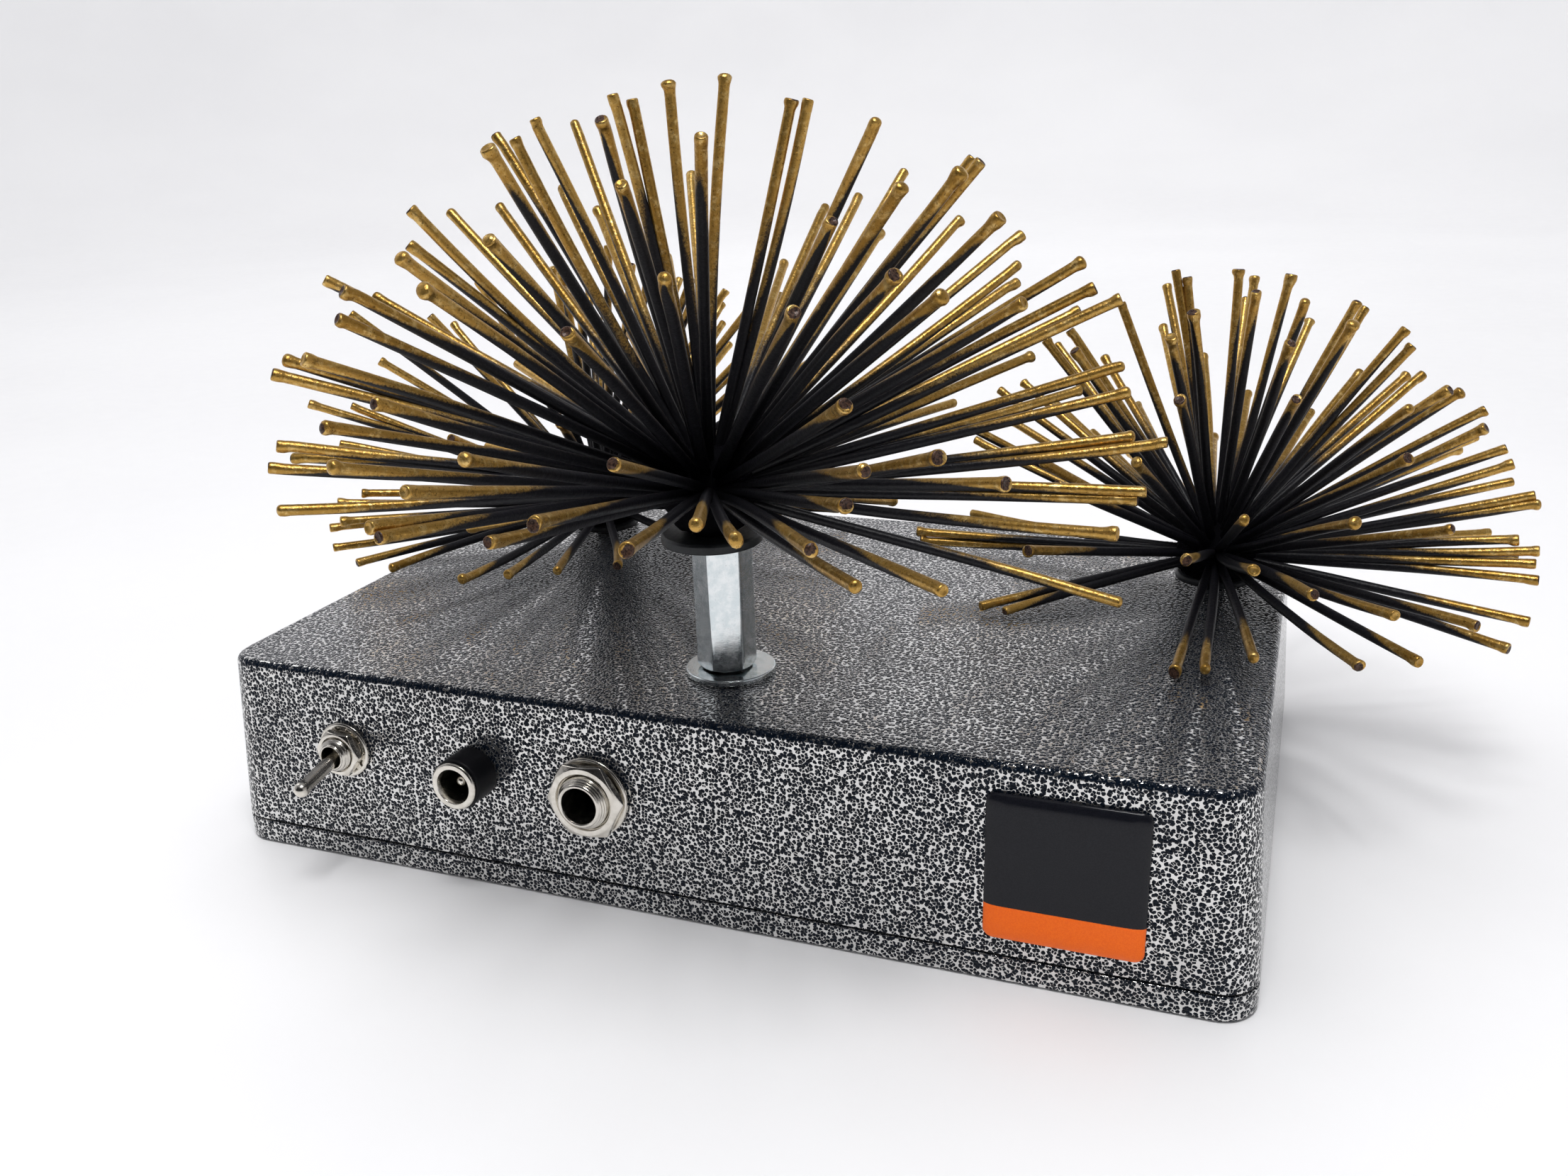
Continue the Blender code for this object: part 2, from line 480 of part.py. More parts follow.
boxes("power_socket_lug", [((-1.2, 1.9, -12.5), (1.2, 2.5, -8.9))], TIN, parent=front, loc=power_at)

# output jack ----------------------------------------------------------------------------------
turned("output_jack_washer", [(5.1, 1.05), (7.0, 1.05), (7.2, 0.85), (7.2, GAP), (5.1, GAP)], NICKEL,
       22, True, parent=front, loc=jack_at)
hexagon("output_jack_nut", 12.7, 1.35, 3.15, 5.1, NICKEL, math.radians(33), 0.4, parent=front,
        loc=jack_at)
turned("output_jack_bushing", [
    (3.2, 4.7), (4.1, 4.7), (4.7, 3.9), (4.7, -2.7), (6.6, -2.7), (6.6, -3.7), (3.2, -3.7)],
    NICKEL, 22, True, parent=front, loc=jack_at)
jack_case = boxes("output_jack_case", [((-7.4, -7.4, -25.5), (7.4, 7.4, -4.0))], BLACK_PLASTIC, 0.6,
                  parent=front, loc=jack_at)
c = rods("cutter_jack_bore", [((0, 0, -24.2), (0, 0, 0), 3.7)], None, 20, parent=front,
         loc=jack_at, cutter=True)
combine(jack_case, c, name="bore")
c = boxes("cutter_jack_pocket", [((-2.6, 1.0, -24.2), (2.6, 8.4, -9.5))], None, parent=front,
          loc=jack_at, cutter=True)
combine(jack_case, c, name="contact_pocket")
c = boxes("cutter_jack_slot", [((-1.3, 4.5, -28), (1.3, 6.1, -23))], None, parent=front,
          loc=jack_at, cutter=True)
combine(jack_case, c, name="lug_slot")


def strip(name, points, thick, half_width, mat, **kw):
    """A bent contact strip: an outline in the height-depth plane, extruded to its width."""
    cu = bpy.data.curves.new(name, "CURVE")
    cu.dimensions, cu.fill_mode, cu.extrude = "2D", "BOTH", half_width * MM
    path = [Vector(p) for p in points]
    left, right = [], []
    for i, p in enumerate(path):
        a = path[max(i - 1, 0)]
        b = path[min(i + 1, len(path) - 1)]
        t = (b - a).normalized()
        n = Vector((-t.y, t.x)) * thick / 2
        left.append(p + n)
        right.append(p - n)
    sp = cu.splines.new("POLY")
    loop = left + right[::-1]
    sp.points.add(len(loop) - 1)
    for p, co in zip(sp.points, loop):
        p.co = (co.x * MM, co.y * MM, 0, 1)
    sp.use_cyclic_u = True
    tmp = bpy.data.objects.new(name + "_outline", cu)
    PARTS.objects.link(tmp)
    bpy.context.view_layer.update()
    me = bpy.data.meshes.new_from_object(tmp.evaluated_get(bpy.context.evaluated_depsgraph_get()))
    bm = bmesh.new()
    bm.from_mesh(me)
    bmesh.ops.remove_doubles(bm, verts=bm.verts, dist=0.00001)
    # the outline is drawn in X-Y; it is turned so that X is depth and Y is height up the face
    bmesh.ops.transform(bm, matrix=Matrix(((0, 0, 1, 0), (0, 1, 0, 0), (1, 0, 0, 0), (0, 0, 0, 1))),
                        verts=bm.verts)
    mesh = mesh_of(bm, name, 0)
    ob = link(name, mesh, mat, **kw)
    bpy.data.objects.remove(tmp, do_unlink=True)
    bpy.data.meshes.remove(me)
    return ob


strip("output_jack_tip_spring", [(-28.5, 5.3), (-23.0, 5.3), (-21.5, 3.6), (-19.8, 2.35),
                                 (-18.2, 3.4), (-13.5, 5.0), (-10.6, 5.4)], 0.5, 1.0, TIN,
      parent=front, loc=jack_at)
boxes("output_jack_sleeve_lug", [((-1.2, -6.6, -29.0), (1.2, -6.0, -25.8))], TIN, parent=front,
      loc=jack_at)

# square domed badge -----------------------------------------------------------------------------
bm = bmesh.new()
h = BADGE_SIDE / 2
add_box(bm, (-h, -h, GAP), (h, h, GAP + BADGE_T))
upright = [e for e in bm.edges if abs(e.verts[0].co.z - e.verts[1].co.z) > 0.0005]
bmesh.ops.bevel(bm, geom=upright, offset=1.6 * MM, segments=4, profile=0.5, affect="EDGES")
rim = [e for e in bm.edges if all(v.co.z > (GAP + BADGE_T - 0.01) * MM for v in e.verts)]
bmesh.ops.bevel(bm, geom=rim, offset=0.9 * MM, segments=2, profile=0.5, affect="EDGES")
link("front_badge", mesh_of(bm, "front_badge"), BADGE, parent=front, loc=badge_at)

# ------------------------------------------------------------------------ front post and its bolt
turned("post_washer", [(3.3, 38.9), (7.9, 38.9), (7.9, 37.8), (3.3, 37.8)], ZINC, 22, True,
       loc=(WASHER_X, WASHER_Y, 0))
hexagon("post_coupling_nut", POST_NUT_AF, POST_NUT_Z[0], POST_NUT_Z[1], BOLT_HOLE_R, ZINC, POST_YAW,
        0.25, loc=(POST_X, POST_Y, 0))


def roof_bolt(name, at, top):
    """A flanged hexagon bolt: its head is under the roof and its shank stands up through it."""
    bm = bmesh.new()
    mat4 = Matrix.Translation((0, 0, 31.85 * MM))
    bmesh.ops.create_cone(bm, cap_ends=True, cap_tris=False, segments=6, radius1=8 / math.sqrt(3) * MM,
                          radius2=8 / math.sqrt(3) * MM, depth=3.5 * MM, matrix=mat4)
    ob = link(name, mesh_of(bm, name, 0), ZINC, loc=(at[0], at[1], 0))
    shank = rods("cutter_" + name + "_shank", [((0, 0, 32.5), (0, 0, top), BOLT_R)], None, 14,
                 loc=(at[0], at[1], 0), cutter=True)
    combine(ob, shank, "UNION", "shank")
    flange = rods("cutter_" + name + "_flange", [((0, 0, 33.1), (0, 0, 34.6), 5.6)], None, 18,
                  loc=(at[0], at[1], 0), cutter=True)
    combine(ob, flange, "UNION", "flange")
    return ob


roof_bolt("post_bolt", (POST_X, POST_Y), 49.0)
# the plate is centred under the weld ball; its stud goes into the post
plate = turned("post_cluster_plate", [(0, 63.4), (8.2, 63.4), (PLATE_R, 62.9), (PLATE_R, 61.6), (0, 61.6)],
               BLACK_METAL, 22, loc=(HUB_1.x, HUB_1.y, 0))
stud = rods("cutter_post_cluster_stud", [((POST_X, POST_Y, 50.5), (POST_X, POST_Y, 62.4), BOLT_R)], None,
            14, cutter=True)
combine(plate, stud, "UNION", "stud")

# ------------------------------------------------------------------------ rear cluster's fixing
turned("rear_cluster_plate", [(2.7, 39.0), (7.2, 39.0), (7.6, 38.6), (7.6, 37.8), (2.7, 37.8)],
       BLACK_METAL, 20, True, loc=(HUB_2.x, HUB_2.y, 0))
roof_bolt("rear_bolt", (HUB_2.x, HUB_2.y), 45.0)

# ------------------------------------------------------------------------ left cluster's fixing
turned("left_cluster_plate", [(2.7, 39.0), (7.2, 39.0), (7.6, 38.6), (7.6, 37.8), (2.7, 37.8)],
       BLACK_METAL, 20, True, loc=(HUB_3.x, HUB_3.y, 0))
roof_bolt("left_bolt", (HUB_3.x, HUB_3.y), 45.0)


# ---------------------------------------------------------------------------------- rod clusters
def sight(u, v):
    """Unit direction from the eye point through (u, v) on its picture plane."""
    return (EYE_RIGHT * ((u - EYE_U) / FOCAL) - EYE_UP * ((v - EYE_V) / FOCAL) - EYE_BACK).normalized()


def tip_at(u, v, side, hub, reach):
    """The tip on the sight line: reach away from the hub, on the near or the far side of it."""
    d = sight(u, v)
    to_hub = hub - EYE
    mid = d.dot(to_hub)
    off2 = to_hub.length_squared - mid * mid
    half = math.sqrt(max(reach * reach - off2, 0.0)) if side else 0.0
    t = mid - side * half
    tip = EYE + d * t
    if tip.z < ROD_FLOOR:                     # a low rod stops just above the box's top
        tip = EYE + d * ((ROD_FLOOR - EYE.z) / d.z)
    return tip


def segment_gap(p1, q1, p2, q2):
    """Shortest distance between two straight segments."""
    d1, d2, r = q1 - p1, q2 - p2, p1 - p2
    a, e, f = d1.dot(d1), d2.dot(d2), d2.dot(r)
    b, c = d1.dot(d2), d1.dot(r)
    den = a * e - b * b
    s = min(max((b * f - c * e) / den, 0.0), 1.0) if den > 1e-9 else 0.0
    t = (b * s + f) / e
    if t < 0.0:
        t, s = 0.0, min(max(-c / a, 0.0), 1.0)
    elif t > 1.0:
        t, s = 1.0, min(max((b - c) / a, 0.0), 1.0)
    return ((p1 + d1 * s) - (p2 + d2 * t)).length


def settle(tip, hub, others, need):
    """Slides a tip along its sight line until its rod passes every other cluster's rod."""
    d = (tip - EYE).normalized()
    for step in range(0, 61):
        for sign in ((1,) if step == 0 else (1, -1)):
            q = tip + d * (0.5 * step * sign)
            if q.z < ROD_FLOOR:
                continue
            if all(segment_gap(hub, q, a, b) > need for a, b in others):
                return q
    return None


def fill_directions(count, have, axis, spread, apart, lowest):
    """Evenly spread directions about axis that keep clear of the ones that are there already."""
    golden = math.pi * (3 - math.sqrt(5))
    out = []
    for i in range(count):
        z = 1 - 2 * (i + 0.5) / count
        r = math.sqrt(1 - z * z)
        d = Vector((r * math.cos(golden * i), r * math.sin(golden * i), z))
        if d.z < lowest or d.angle(axis) > spread:
            continue
        if all(d.angle(h) > apart for h in have + out):
            out.append(d)
    return out


def cluster(hub, tips, reach, others, axis, spread, lowest=-0.28):
    """All rods of one cluster as (hub, tip) pairs."""
    need = 2 * ROD_R + 0.4
    out = []
    for u, v, side in tips:
        tip = settle(tip_at(u, v, side, hub, reach), hub, others, need)
        if tip is not None:
            out.append(tip)
    have = [(t - hub).normalized() for t in out]
    for d in fill_directions(190, have, axis.normalized(), math.radians(spread), math.radians(10.5),
                             lowest):
        tip = hub + d * reach * (0.97 + 0.03 * math.sin(9 * d.x + 5 * d.y))
        if tip.z < ROD_FLOOR:
            continue
        if all(segment_gap(hub, tip, a, b) > need for a, b in others):
            out.append(tip)
    return [(hub, t) for t in out]


def rod_burst(name, hub, spokes, ball, floor_z, bore_top, mat):
    """A weld ball with all its rods, joined into one body and cut flat underneath."""
    bm = bmesh.new()
    bmesh.ops.create_uvsphere(bm, u_segments=16, v_segments=9, radius=ball * MM,
                              matrix=Matrix.Rotation(0.13, 4, "Z"))
    ob = link(name, mesh_of(bm, name), mat, loc=hub)
    root = ball * 0.80
    groups = []                                # rods in one group never touch one another
    for h, t in spokes:
        d = (t - h).normalized()
        for g in groups:
            if all(d.angle(o) > 2 * math.asin(ROD_R / root) + 0.03 for o, _ in g):
                g.append((d, (t - h).length))
                break
        else:
            groups.append([(d, (t - h).length)])
    for i, g in enumerate(groups):
        bm = bmesh.new()
        for k, (d, length) in enumerate(g):
            add_rod(bm, d * root, d * (length + 0.6), ROD_R, 6)
        c = link("cutter_%s_%02d" % (name, i), mesh_of(bm, "rods_%02d" % i), None, loc=hub,
                 cutter=True)
        combine(ob, c, "UNION", "rods_%02d" % i)
    flat = rods("cutter_%s_flat" % name, [((0, 0, floor_z - hub.z - 8), (0, 0, floor_z - hub.z), 9.4)],
                None, 28, loc=hub, cutter=True)
    combine(ob, flat, name="flat")
    if bore_top:
        c = rods("cutter_%s_bore" % name, [((0, 0, floor_z - hub.z - 4), (0, 0, bore_top - hub.z),
                                            BOLT_HOLE_R)], None, 14, loc=hub, cutter=True)
        combine(ob, c, name="bore")
    return ob


SPOKES_1 = cluster(HUB_1, TIPS_1, REACH_1, [], HUB_1 - EYE, 52)
SPOKES_2 = cluster(HUB_2, TIPS_2, REACH_2, SPOKES_1, HUB_2 - EYE, 70)
SPOKES_3 = cluster(HUB_3, TIPS_3, REACH_3, SPOKES_1 + SPOKES_2, Vector((0.80, 0.25, 0.45)), 76, -0.05)
rod_burst("front_rod_cluster", HUB_1, SPOKES_1, BALL_1, 63.7, 0, ROD_PAINT)
rod_burst("rear_rod_cluster", HUB_2, SPOKES_2, BALL_2, 39.3, 46.0, ROD_PAINT)
rod_burst("left_rod_cluster", HUB_3, SPOKES_3, BALL_3, 39.3, 46.0, ROD_PAINT)

# ------------------------------------------------------------------------- electronics inside
BX0, BX1, BY0, BY1 = 20.0, 76.0, -36.0, 0.0
board = boxes("preamp_board", [((BX0, BY0, 24.0), (BX1, BY1, 25.6))], BOARD)
feet = [(BX0 + 4, BY0 + 4), (BX1 - 4, BY0 + 4), (BX0 + 4, BY1 - 4), (BX1 - 4, BY1 - 4)]
for i, (x, y) in enumerate(feet, 1):
    turned("board_spacer_%d" % i, [(0, ROOF_Z - GAP), (2.4, ROOF_Z - GAP), (2.4, 25.9), (0, 25.9)],
           BLACK_PLASTIC, 12, loc=(x, y, 0))
boxes("preamp_chip", [((42, -21, 20.2), (51.5, -14.6, 23.4))], BLACK_PLASTIC)
turned("preamp_capacitor_1", [(0, 23.7), (3.1, 23.7), (3.1, 13.4), (2.6, 12.9), (0, 12.9)], CAPACITOR,
       16, loc=(62, -27, 0))
turned("preamp_capacitor_2", [(0, 23.7), (2.5, 23.7), (2.5, 15.4), (2.1, 14.9), (0, 14.9)], CAPACITOR,
       16, loc=(32, -27, 0))
boxes("preamp_trimmer", [((60, -12, 18.6), (69, -3, 23.7))], CAPACITOR)
for i, (x, y) in enumerate(((2.3, -12.5), (56.0, 36.5)), 1):
    turned("pickup_disc_%d" % i, [(0, 34.6), (10, 34.6), (10, 34.1), (0, 34.1)], BRASS, 24,
           loc=(x, y, 0))
    turned("pickup_ceramic_%d" % i, [(0, 33.8), (6.5, 33.8), (6.5, 33.4), (0, 33.4)], CERAMIC, 18,
           loc=(x, y, 0))

wire("wire_pickup_1", [(2.3, -12.5, 32.4), (6, -9, 28), (17, -6, 21), (24.5, -9, 21.5), (25, -12, 23.3)],
     WIRE_GREY)
wire("wire_pickup_2", [(56, 36.5, 32.4), (55, 28, 28), (52, 10, 20), (51, -1, 20.5), (51, -4, 23.3)],
     WIRE_GREY)
wire("wire_output", [(-15.3, -26.8, 26.3), (-14, -20, 24), (2, -22, 19), (21, -23, 19.5), (24, -23, 23.3)],
     WIRE_GREY)
wire("wire_power_in", [(-38.4, -43.6, 22.6), (-42, -36, 24), (-56, -36, 26), (-64, -37, 26.5),
                       (-65.9, -41.2, 27.6)], WIRE_RED)
wire("wire_power_out", [(-65.9, -41.2, 22.4), (-58, -28, 18), (-20, -16, 12), (22, -16, 16),
                        (27, -17, 23.3)], WIRE_RED, segs=12)
wire("wire_ground", [(-38.4, -45.3, 26.2), (-34, -38, 27), (-20, -14, 16), (20, -31, 17),
                     (26, -31, 23.3)], WIRE_BLACK, segs=12)
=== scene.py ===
"""Looks of an amplified rod-cluster box: a die-cast enclosure in hammertone paint, three bursts of
black and gold steel rods on its roof, and a toggle switch, a power socket, an output jack and a
square domed badge on its front.

Lengths are in millimetres and are turned into metres where meshes are made.  The frame is the
CAD's: origin under the middle of the lid, +X right seen from the front, front towards -Y, +Z up.
"""

import math
import random

import bmesh
import bpy
from mathutils import Matrix, Vector, noise


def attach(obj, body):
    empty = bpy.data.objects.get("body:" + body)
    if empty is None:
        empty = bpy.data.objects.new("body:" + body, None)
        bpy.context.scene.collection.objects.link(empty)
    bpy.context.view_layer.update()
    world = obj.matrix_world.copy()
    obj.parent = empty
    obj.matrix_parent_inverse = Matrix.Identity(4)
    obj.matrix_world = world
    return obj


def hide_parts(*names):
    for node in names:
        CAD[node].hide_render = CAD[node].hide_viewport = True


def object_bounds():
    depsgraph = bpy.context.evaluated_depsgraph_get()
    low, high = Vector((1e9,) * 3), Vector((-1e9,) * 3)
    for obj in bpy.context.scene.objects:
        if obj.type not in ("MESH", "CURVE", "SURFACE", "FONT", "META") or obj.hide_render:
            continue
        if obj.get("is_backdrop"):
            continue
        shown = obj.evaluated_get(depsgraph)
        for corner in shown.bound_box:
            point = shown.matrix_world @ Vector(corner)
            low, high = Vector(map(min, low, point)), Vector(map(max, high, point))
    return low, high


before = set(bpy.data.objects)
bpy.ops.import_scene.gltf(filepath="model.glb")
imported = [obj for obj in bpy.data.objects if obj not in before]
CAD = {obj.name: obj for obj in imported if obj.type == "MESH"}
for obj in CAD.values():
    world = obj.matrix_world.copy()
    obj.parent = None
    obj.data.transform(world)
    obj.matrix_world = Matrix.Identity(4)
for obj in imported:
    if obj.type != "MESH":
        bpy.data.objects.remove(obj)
CAD_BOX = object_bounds()
MM = 0.001
GAP = 0.3

# ----------------------------------------------------------------------------- dimensions (mm)
BOX_L, BOX_W, BOX_H = 188.0, 119.5, 37.5
LID_H = 4.6
BODY_Z0 = LID_H + GAP
DRAFT, END_DRAFT = 1.4, 2.0
CORNER_R, TOP_EDGE_R = 6.2, 1.3
WALL, ROOF = 2.4, 2.6
ROOF_Z = BOX_H - ROOF
TILT = math.atan(DRAFT / (BOX_H - BODY_Z0))
PILLARS = [(-86.6, -52.6), (86.6, -52.6), (-86.6, 52.6), (86.6, 52.6), (0.0, -53.2), (0.0, 53.2)]
PILLAR_R = {True: 5.0, False: 4.5}
SCREW_R, SCREW_HOLE_R = 1.45, 1.75
FRONT_MID_Z = 21.2
TOGGLE_X, TOGGLE_Z = -65.9, 22.7
POWER_X, POWER_Z = -38.4, 22.3
JACK_X, JACK_Z = -15.3, 21.2
BADGE_X, BADGE_Z, BADGE_SIDE, BADGE_T = 65.2, 20.6, 24.6, 1.3
TOGGLE_THROW = math.radians(13.0)
LEVER_PIVOT, LEVER_REACH = 1.6, 11.3
POST_X, POST_Y = 1.75, -37.7
WASHER_X, WASHER_Y = 2.3, -37.5
POST_NUT_AF, POST_NUT_Z = 9.2, (39.2, 61.3)
POST_YAW = math.radians(-3.8)
PLATE_R = 8.7
BOLT_R, BOLT_HOLE_R = 2.35, 2.65
ROD_R = 0.93                   # six-sided CAD rods
ROUND_R = 0.875                # the round rods shown
HUB_1 = Vector((0.2, -37.9, 70.5))
HUB_2 = Vector((78.2, 34.9, 42.9))
HUB_3 = Vector((-61.5, 36.5, 42.9))
BALL_1, BALL_2, BALL_3 = 8.5, 8.0, 8.0
REACH_1, REACH_2, REACH_3 = 69.0, 56.0, 60.0
ROD_FLOOR = BOX_H + GAP + ROD_R + 0.25

# ------------------------------------------------------------- where the rod tips are sighted
# Tips are laid out by sighting them from one eye point: (across, down, side).  Across and down
# are measured on a picture plane FOCAL units in front of the eye; side is 1 for a rod leaning
# towards the eye, -1 for one leaning away and 0 for one on the cluster's outline.
EYE = Vector((92.54, -239.57, 131.41))
EYE_RIGHT = Vector((0.9340, 0.3558, -0.0330)).normalized()
EYE_BACK = Vector((0.3457, -0.8763, 0.3355)).normalized()
EYE_UP = EYE_BACK.cross(EYE_RIGHT).normalized()
FOCAL, EYE_U, EYE_V = 1921.5, 1106.0, 829.5

TIPS_1 = [
    (583, 298, 0), (636, 300, -1), (702, 193, -1), (692, 212, 1), (706, 293, -1), (690, 338, 1),
    (728, 200, 0), (755, 173, 0), (811, 174, -1), (851, 172, 1), (866, 138, 0), (893, 145, 0),
    (792, 265, -1), (844, 297, -1), (878, 263, 1), (944, 118, 0), (974, 247, -1), (989, 196, 1),
    (1023, 109, 0), (1116, 145, 0), (1139, 145, 0), (1236, 172, 1), (1163, 293, -1), (1172, 315, 1),
    (1211, 279, -1), (1275, 243, -1), (1272, 265, 1), (1241, 328, -1), (1370, 227, 0),
    (1381, 232, 1), (1355, 243, 1), (1352, 311, -1), (1408, 309, 1), (1438, 332, -1),
    (1436, 374, -1), (1432, 398, -1), (1526, 370, 0), (1540, 407, 0), (1328, 418, 1),
    (1440, 429, 1), (1519, 440, -1), (1577, 424, 0), (1453, 503, -1), (1581, 516, 1),
    (1521, 551, -1), (1590, 554, 0), (1642, 625, 0), (1344, 569, -1), (1596, 616, -1),
    (1600, 705, 1), (1612, 694, -1), (1415, 682, 1), (1322, 645, 1), (1571, 753, 1), (1578, 850, 1),
    (1328, 832, 1), (1208, 828, 1), (1143, 776, 1), (1192, 713, 1), (1219, 665, 1), (1190, 573, 1),
    (1120, 443, 1), (1262, 391, 1), (936, 393, 1), (802, 471, 1), (1036, 760, 1), (984, 740, 1),
    (886, 774, 1), (866, 656, 1), (757, 736, 1), (692, 766, 1), (537, 758, 1), (525, 742, 1),
    (576, 694, 1), (396, 628, 0), (415, 645, -1), (384, 661, 0), (468, 660, 1), (396, 720, 0),
    (458, 602, 1), (389, 529, 0), (404, 508, 0), (433, 508, 1), (531, 568, 1), (482, 452, 1),
    (463, 397, 0), (489, 410, 1), (532, 420, -1), (598, 408, 1), (566, 364, 1), (581, 348, 0),
    (654, 648, 1), (1106, 373, -1), (1100, 418, -1),
]
TIPS_2 = [
    (1659, 385, 0), (1646, 405, -1), (1675, 395, 0), (1684, 443, 1), (1641, 461, -1), (1652, 477, 1),
    (1748, 384, 0), (1770, 394, -1), (1772, 415, 1), (1757, 424, -1), (1820, 391, 0), (1842, 426, 1),
    (1848, 453, -1), (1818, 487, 1), (1665, 564, 1), (1828, 564, 1), (1848, 583, -1), (1890, 597, -1),
    (1914, 428, 0), (1924, 437, -1), (1909, 457, 1), (1981, 467, 0), (1990, 491, 0), (1917, 527, -1),
    (1984, 530, -1), (2005, 529, -1), (2041, 551, 1), (2060, 553, 0), (1988, 576, 1), (2092, 580, 0),
    (2092, 605, 1), (2080, 618, -1), (2056, 633, -1), (1985, 648, 1), (2121, 634, 0), (2131, 656, 0),
    (2130, 680, -1), (2161, 699, 0), (2169, 710, 0), (1912, 738, 1), (2047, 748, 1), (2098, 752, -1),
    (2138, 761, 0), (2167, 777, 0), (2162, 795, 0), (2137, 785, -1), (2166, 818, 0), (2081, 881, 1),
    (2153, 876, 0), (1965, 867, 1), (2124, 914, 1), (1999, 932, 1), (1916, 938, 1), (1850, 839, 1),
    (1768, 803, 1), (1674, 789, 1), (1658, 946, 1), (1698, 944, 1), (1768, 928, 1), (1756, 734, 1),
    (1602, 653, 1), (1452, 776, 1), (1387, 854, -1), (1420, 861, -1), (1297, 750, -1), (1302, 763, -1),
    (1583, 431, 0), (1512, 468, 0), (1477, 482, 0), (1492, 487, -1), (1518, 496, 1), (1444, 540, -1),
    (1412, 552, -1), (1352, 593, -1), (1378, 622, -1), (1374, 724, -1), (1424, 592, -1), (1605, 572, -1),
    (1472, 653, 1), (1494, 685, 1),
]
TIPS_3 = [
    (469, 744, 1), (474, 772, 1), (507, 793, 1), (553, 801, 1), (652, 818, 1), (717, 810, 1),
    (786, 805, 1), (872, 797, 1), (480, 709, 1), (514, 696, 0), (524, 712, 1), (484, 735, 1),
    (439, 571, 0), (499, 574, 0), (483, 626, 0), (638, 619, 1), (652, 558, -1), (539, 511, 0),
    (498, 444, 0), (609, 448, 0), (640, 459, -1), (676, 399, 0), (685, 412, -1), (725, 455, -1),
    (780, 379, 0), (793, 388, -1), (830, 405, -1), (845, 452, -1), (916, 371, 0), (958, 396, -1),
    (1018, 430, -1), (1019, 457, -1), (1029, 486, -1),
]

# ------------------------------------------------------------------------------------- camera
scene = bpy.context.scene
cam_data = bpy.data.cameras.new("camera")
cam_data.sensor_fit = "HORIZONTAL"
cam_data.sensor_width = 36.0
cam_data.lens = 36.0 * FOCAL / 2212.0
cam_data.clip_start, cam_data.clip_end = 0.01, 30.0
camera = bpy.data.objects.new("camera", cam_data)
scene.collection.objects.link(camera)
placed = Matrix((EYE_RIGHT, EYE_UP, EYE_BACK)).transposed().to_4x4()
placed.translation = EYE * MM
camera.matrix_world = placed
scene.camera = camera
scene.view_settings.view_transform = "Standard"
scene.view_settings.look = "None"

LOOK = bpy.data.collections.new("look")
scene.collection.children.link(LOOK)


# ------------------------------------------------------------------------------ shader helpers
class Graph:
    """A small hand for building one material's nodes."""

    def __init__(self, name, **fixed):
        self.mat = bpy.data.materials.new(name)
        self.mat.use_nodes = True
        self.tree = self.mat.node_tree
        self.bsdf = self.tree.nodes["Principled BSDF"]
        for key, value in fixed.items():
            socket = self.bsdf.inputs[key.replace("_", " ")]
            socket.default_value = (*value, 1.0) if isinstance(value, tuple) else value

    def node(self, kind, inputs=None, **props):
        n = self.tree.nodes.new(kind)
        for key, value in props.items():
            setattr(n, key, value)
        for key, value in (inputs or {}).items():
            self.feed(n.inputs[key], value)
        return n

    def feed(self, socket, value):
        if isinstance(value, bpy.types.NodeSocket):
            self.tree.links.new(value, socket)
        elif isinstance(value, tuple) and socket.type == "RGBA":
            socket.default_value = (*value, 1.0)
        else:
            socket.default_value = value

    def set(self, key, value):
        self.feed(self.bsdf.inputs[key], value)

    def place(self, scale=1000.0, stretch=(1.0, 1.0, 1.0)):
        """Object coordinates counted in millimetres."""
        at = self.node("ShaderNodeTexCoord").outputs["Object"]
        m = self.node("ShaderNodeMapping", {"Vector": at})
        m.inputs["Scale"].default_value = tuple(scale * s for s in stretch)
        return m.outputs["Vector"]

    def noise(self, at, scale, detail=2.0, rough=0.5, distortion=0.0, out="Fac"):
        n = self.node("ShaderNodeTexNoise", {"Vector": at, "Scale": scale, "Detail": detail,
                                             "Roughness": rough, "Distortion": distortion})
        return n.outputs[out]

    def math(self, op, a, b=0.0, c=0.0, clamp=False):
        n = self.node("ShaderNodeMath", operation=op, use_clamp=clamp)
        for i, v in enumerate((a, b, c)):
            self.feed(n.inputs[i], v)
        return n.outputs[0]

    def span(self, value, a, b, lo=0.0, hi=1.0, smooth=True):
        n = self.node("ShaderNodeMapRange", {"Value": value, "From Min": a, "From Max": b,
                                             "To Min": lo, "To Max": hi},
                      interpolation_type="SMOOTHSTEP" if smooth else "LINEAR")
        return n.outputs["Result"]

    def mix(self, fac, a, b, blend="MIX"):
        n = self.node("ShaderNodeMix", data_type="RGBA", blend_type=blend)
        self.feed(n.inputs[0], fac)
        self.feed(n.inputs[6], a)
        self.feed(n.inputs[7], b)
        return n.outputs[2]

    def bump(self, height, distance, strength=1.0, normal=None):
        n = self.node("ShaderNodeBump", {"Height": height, "Strength": strength,
                                         "Distance": distance * MM})
        if normal is not None:
            self.feed(n.inputs["Normal"], normal)
        return n.outputs["Normal"]


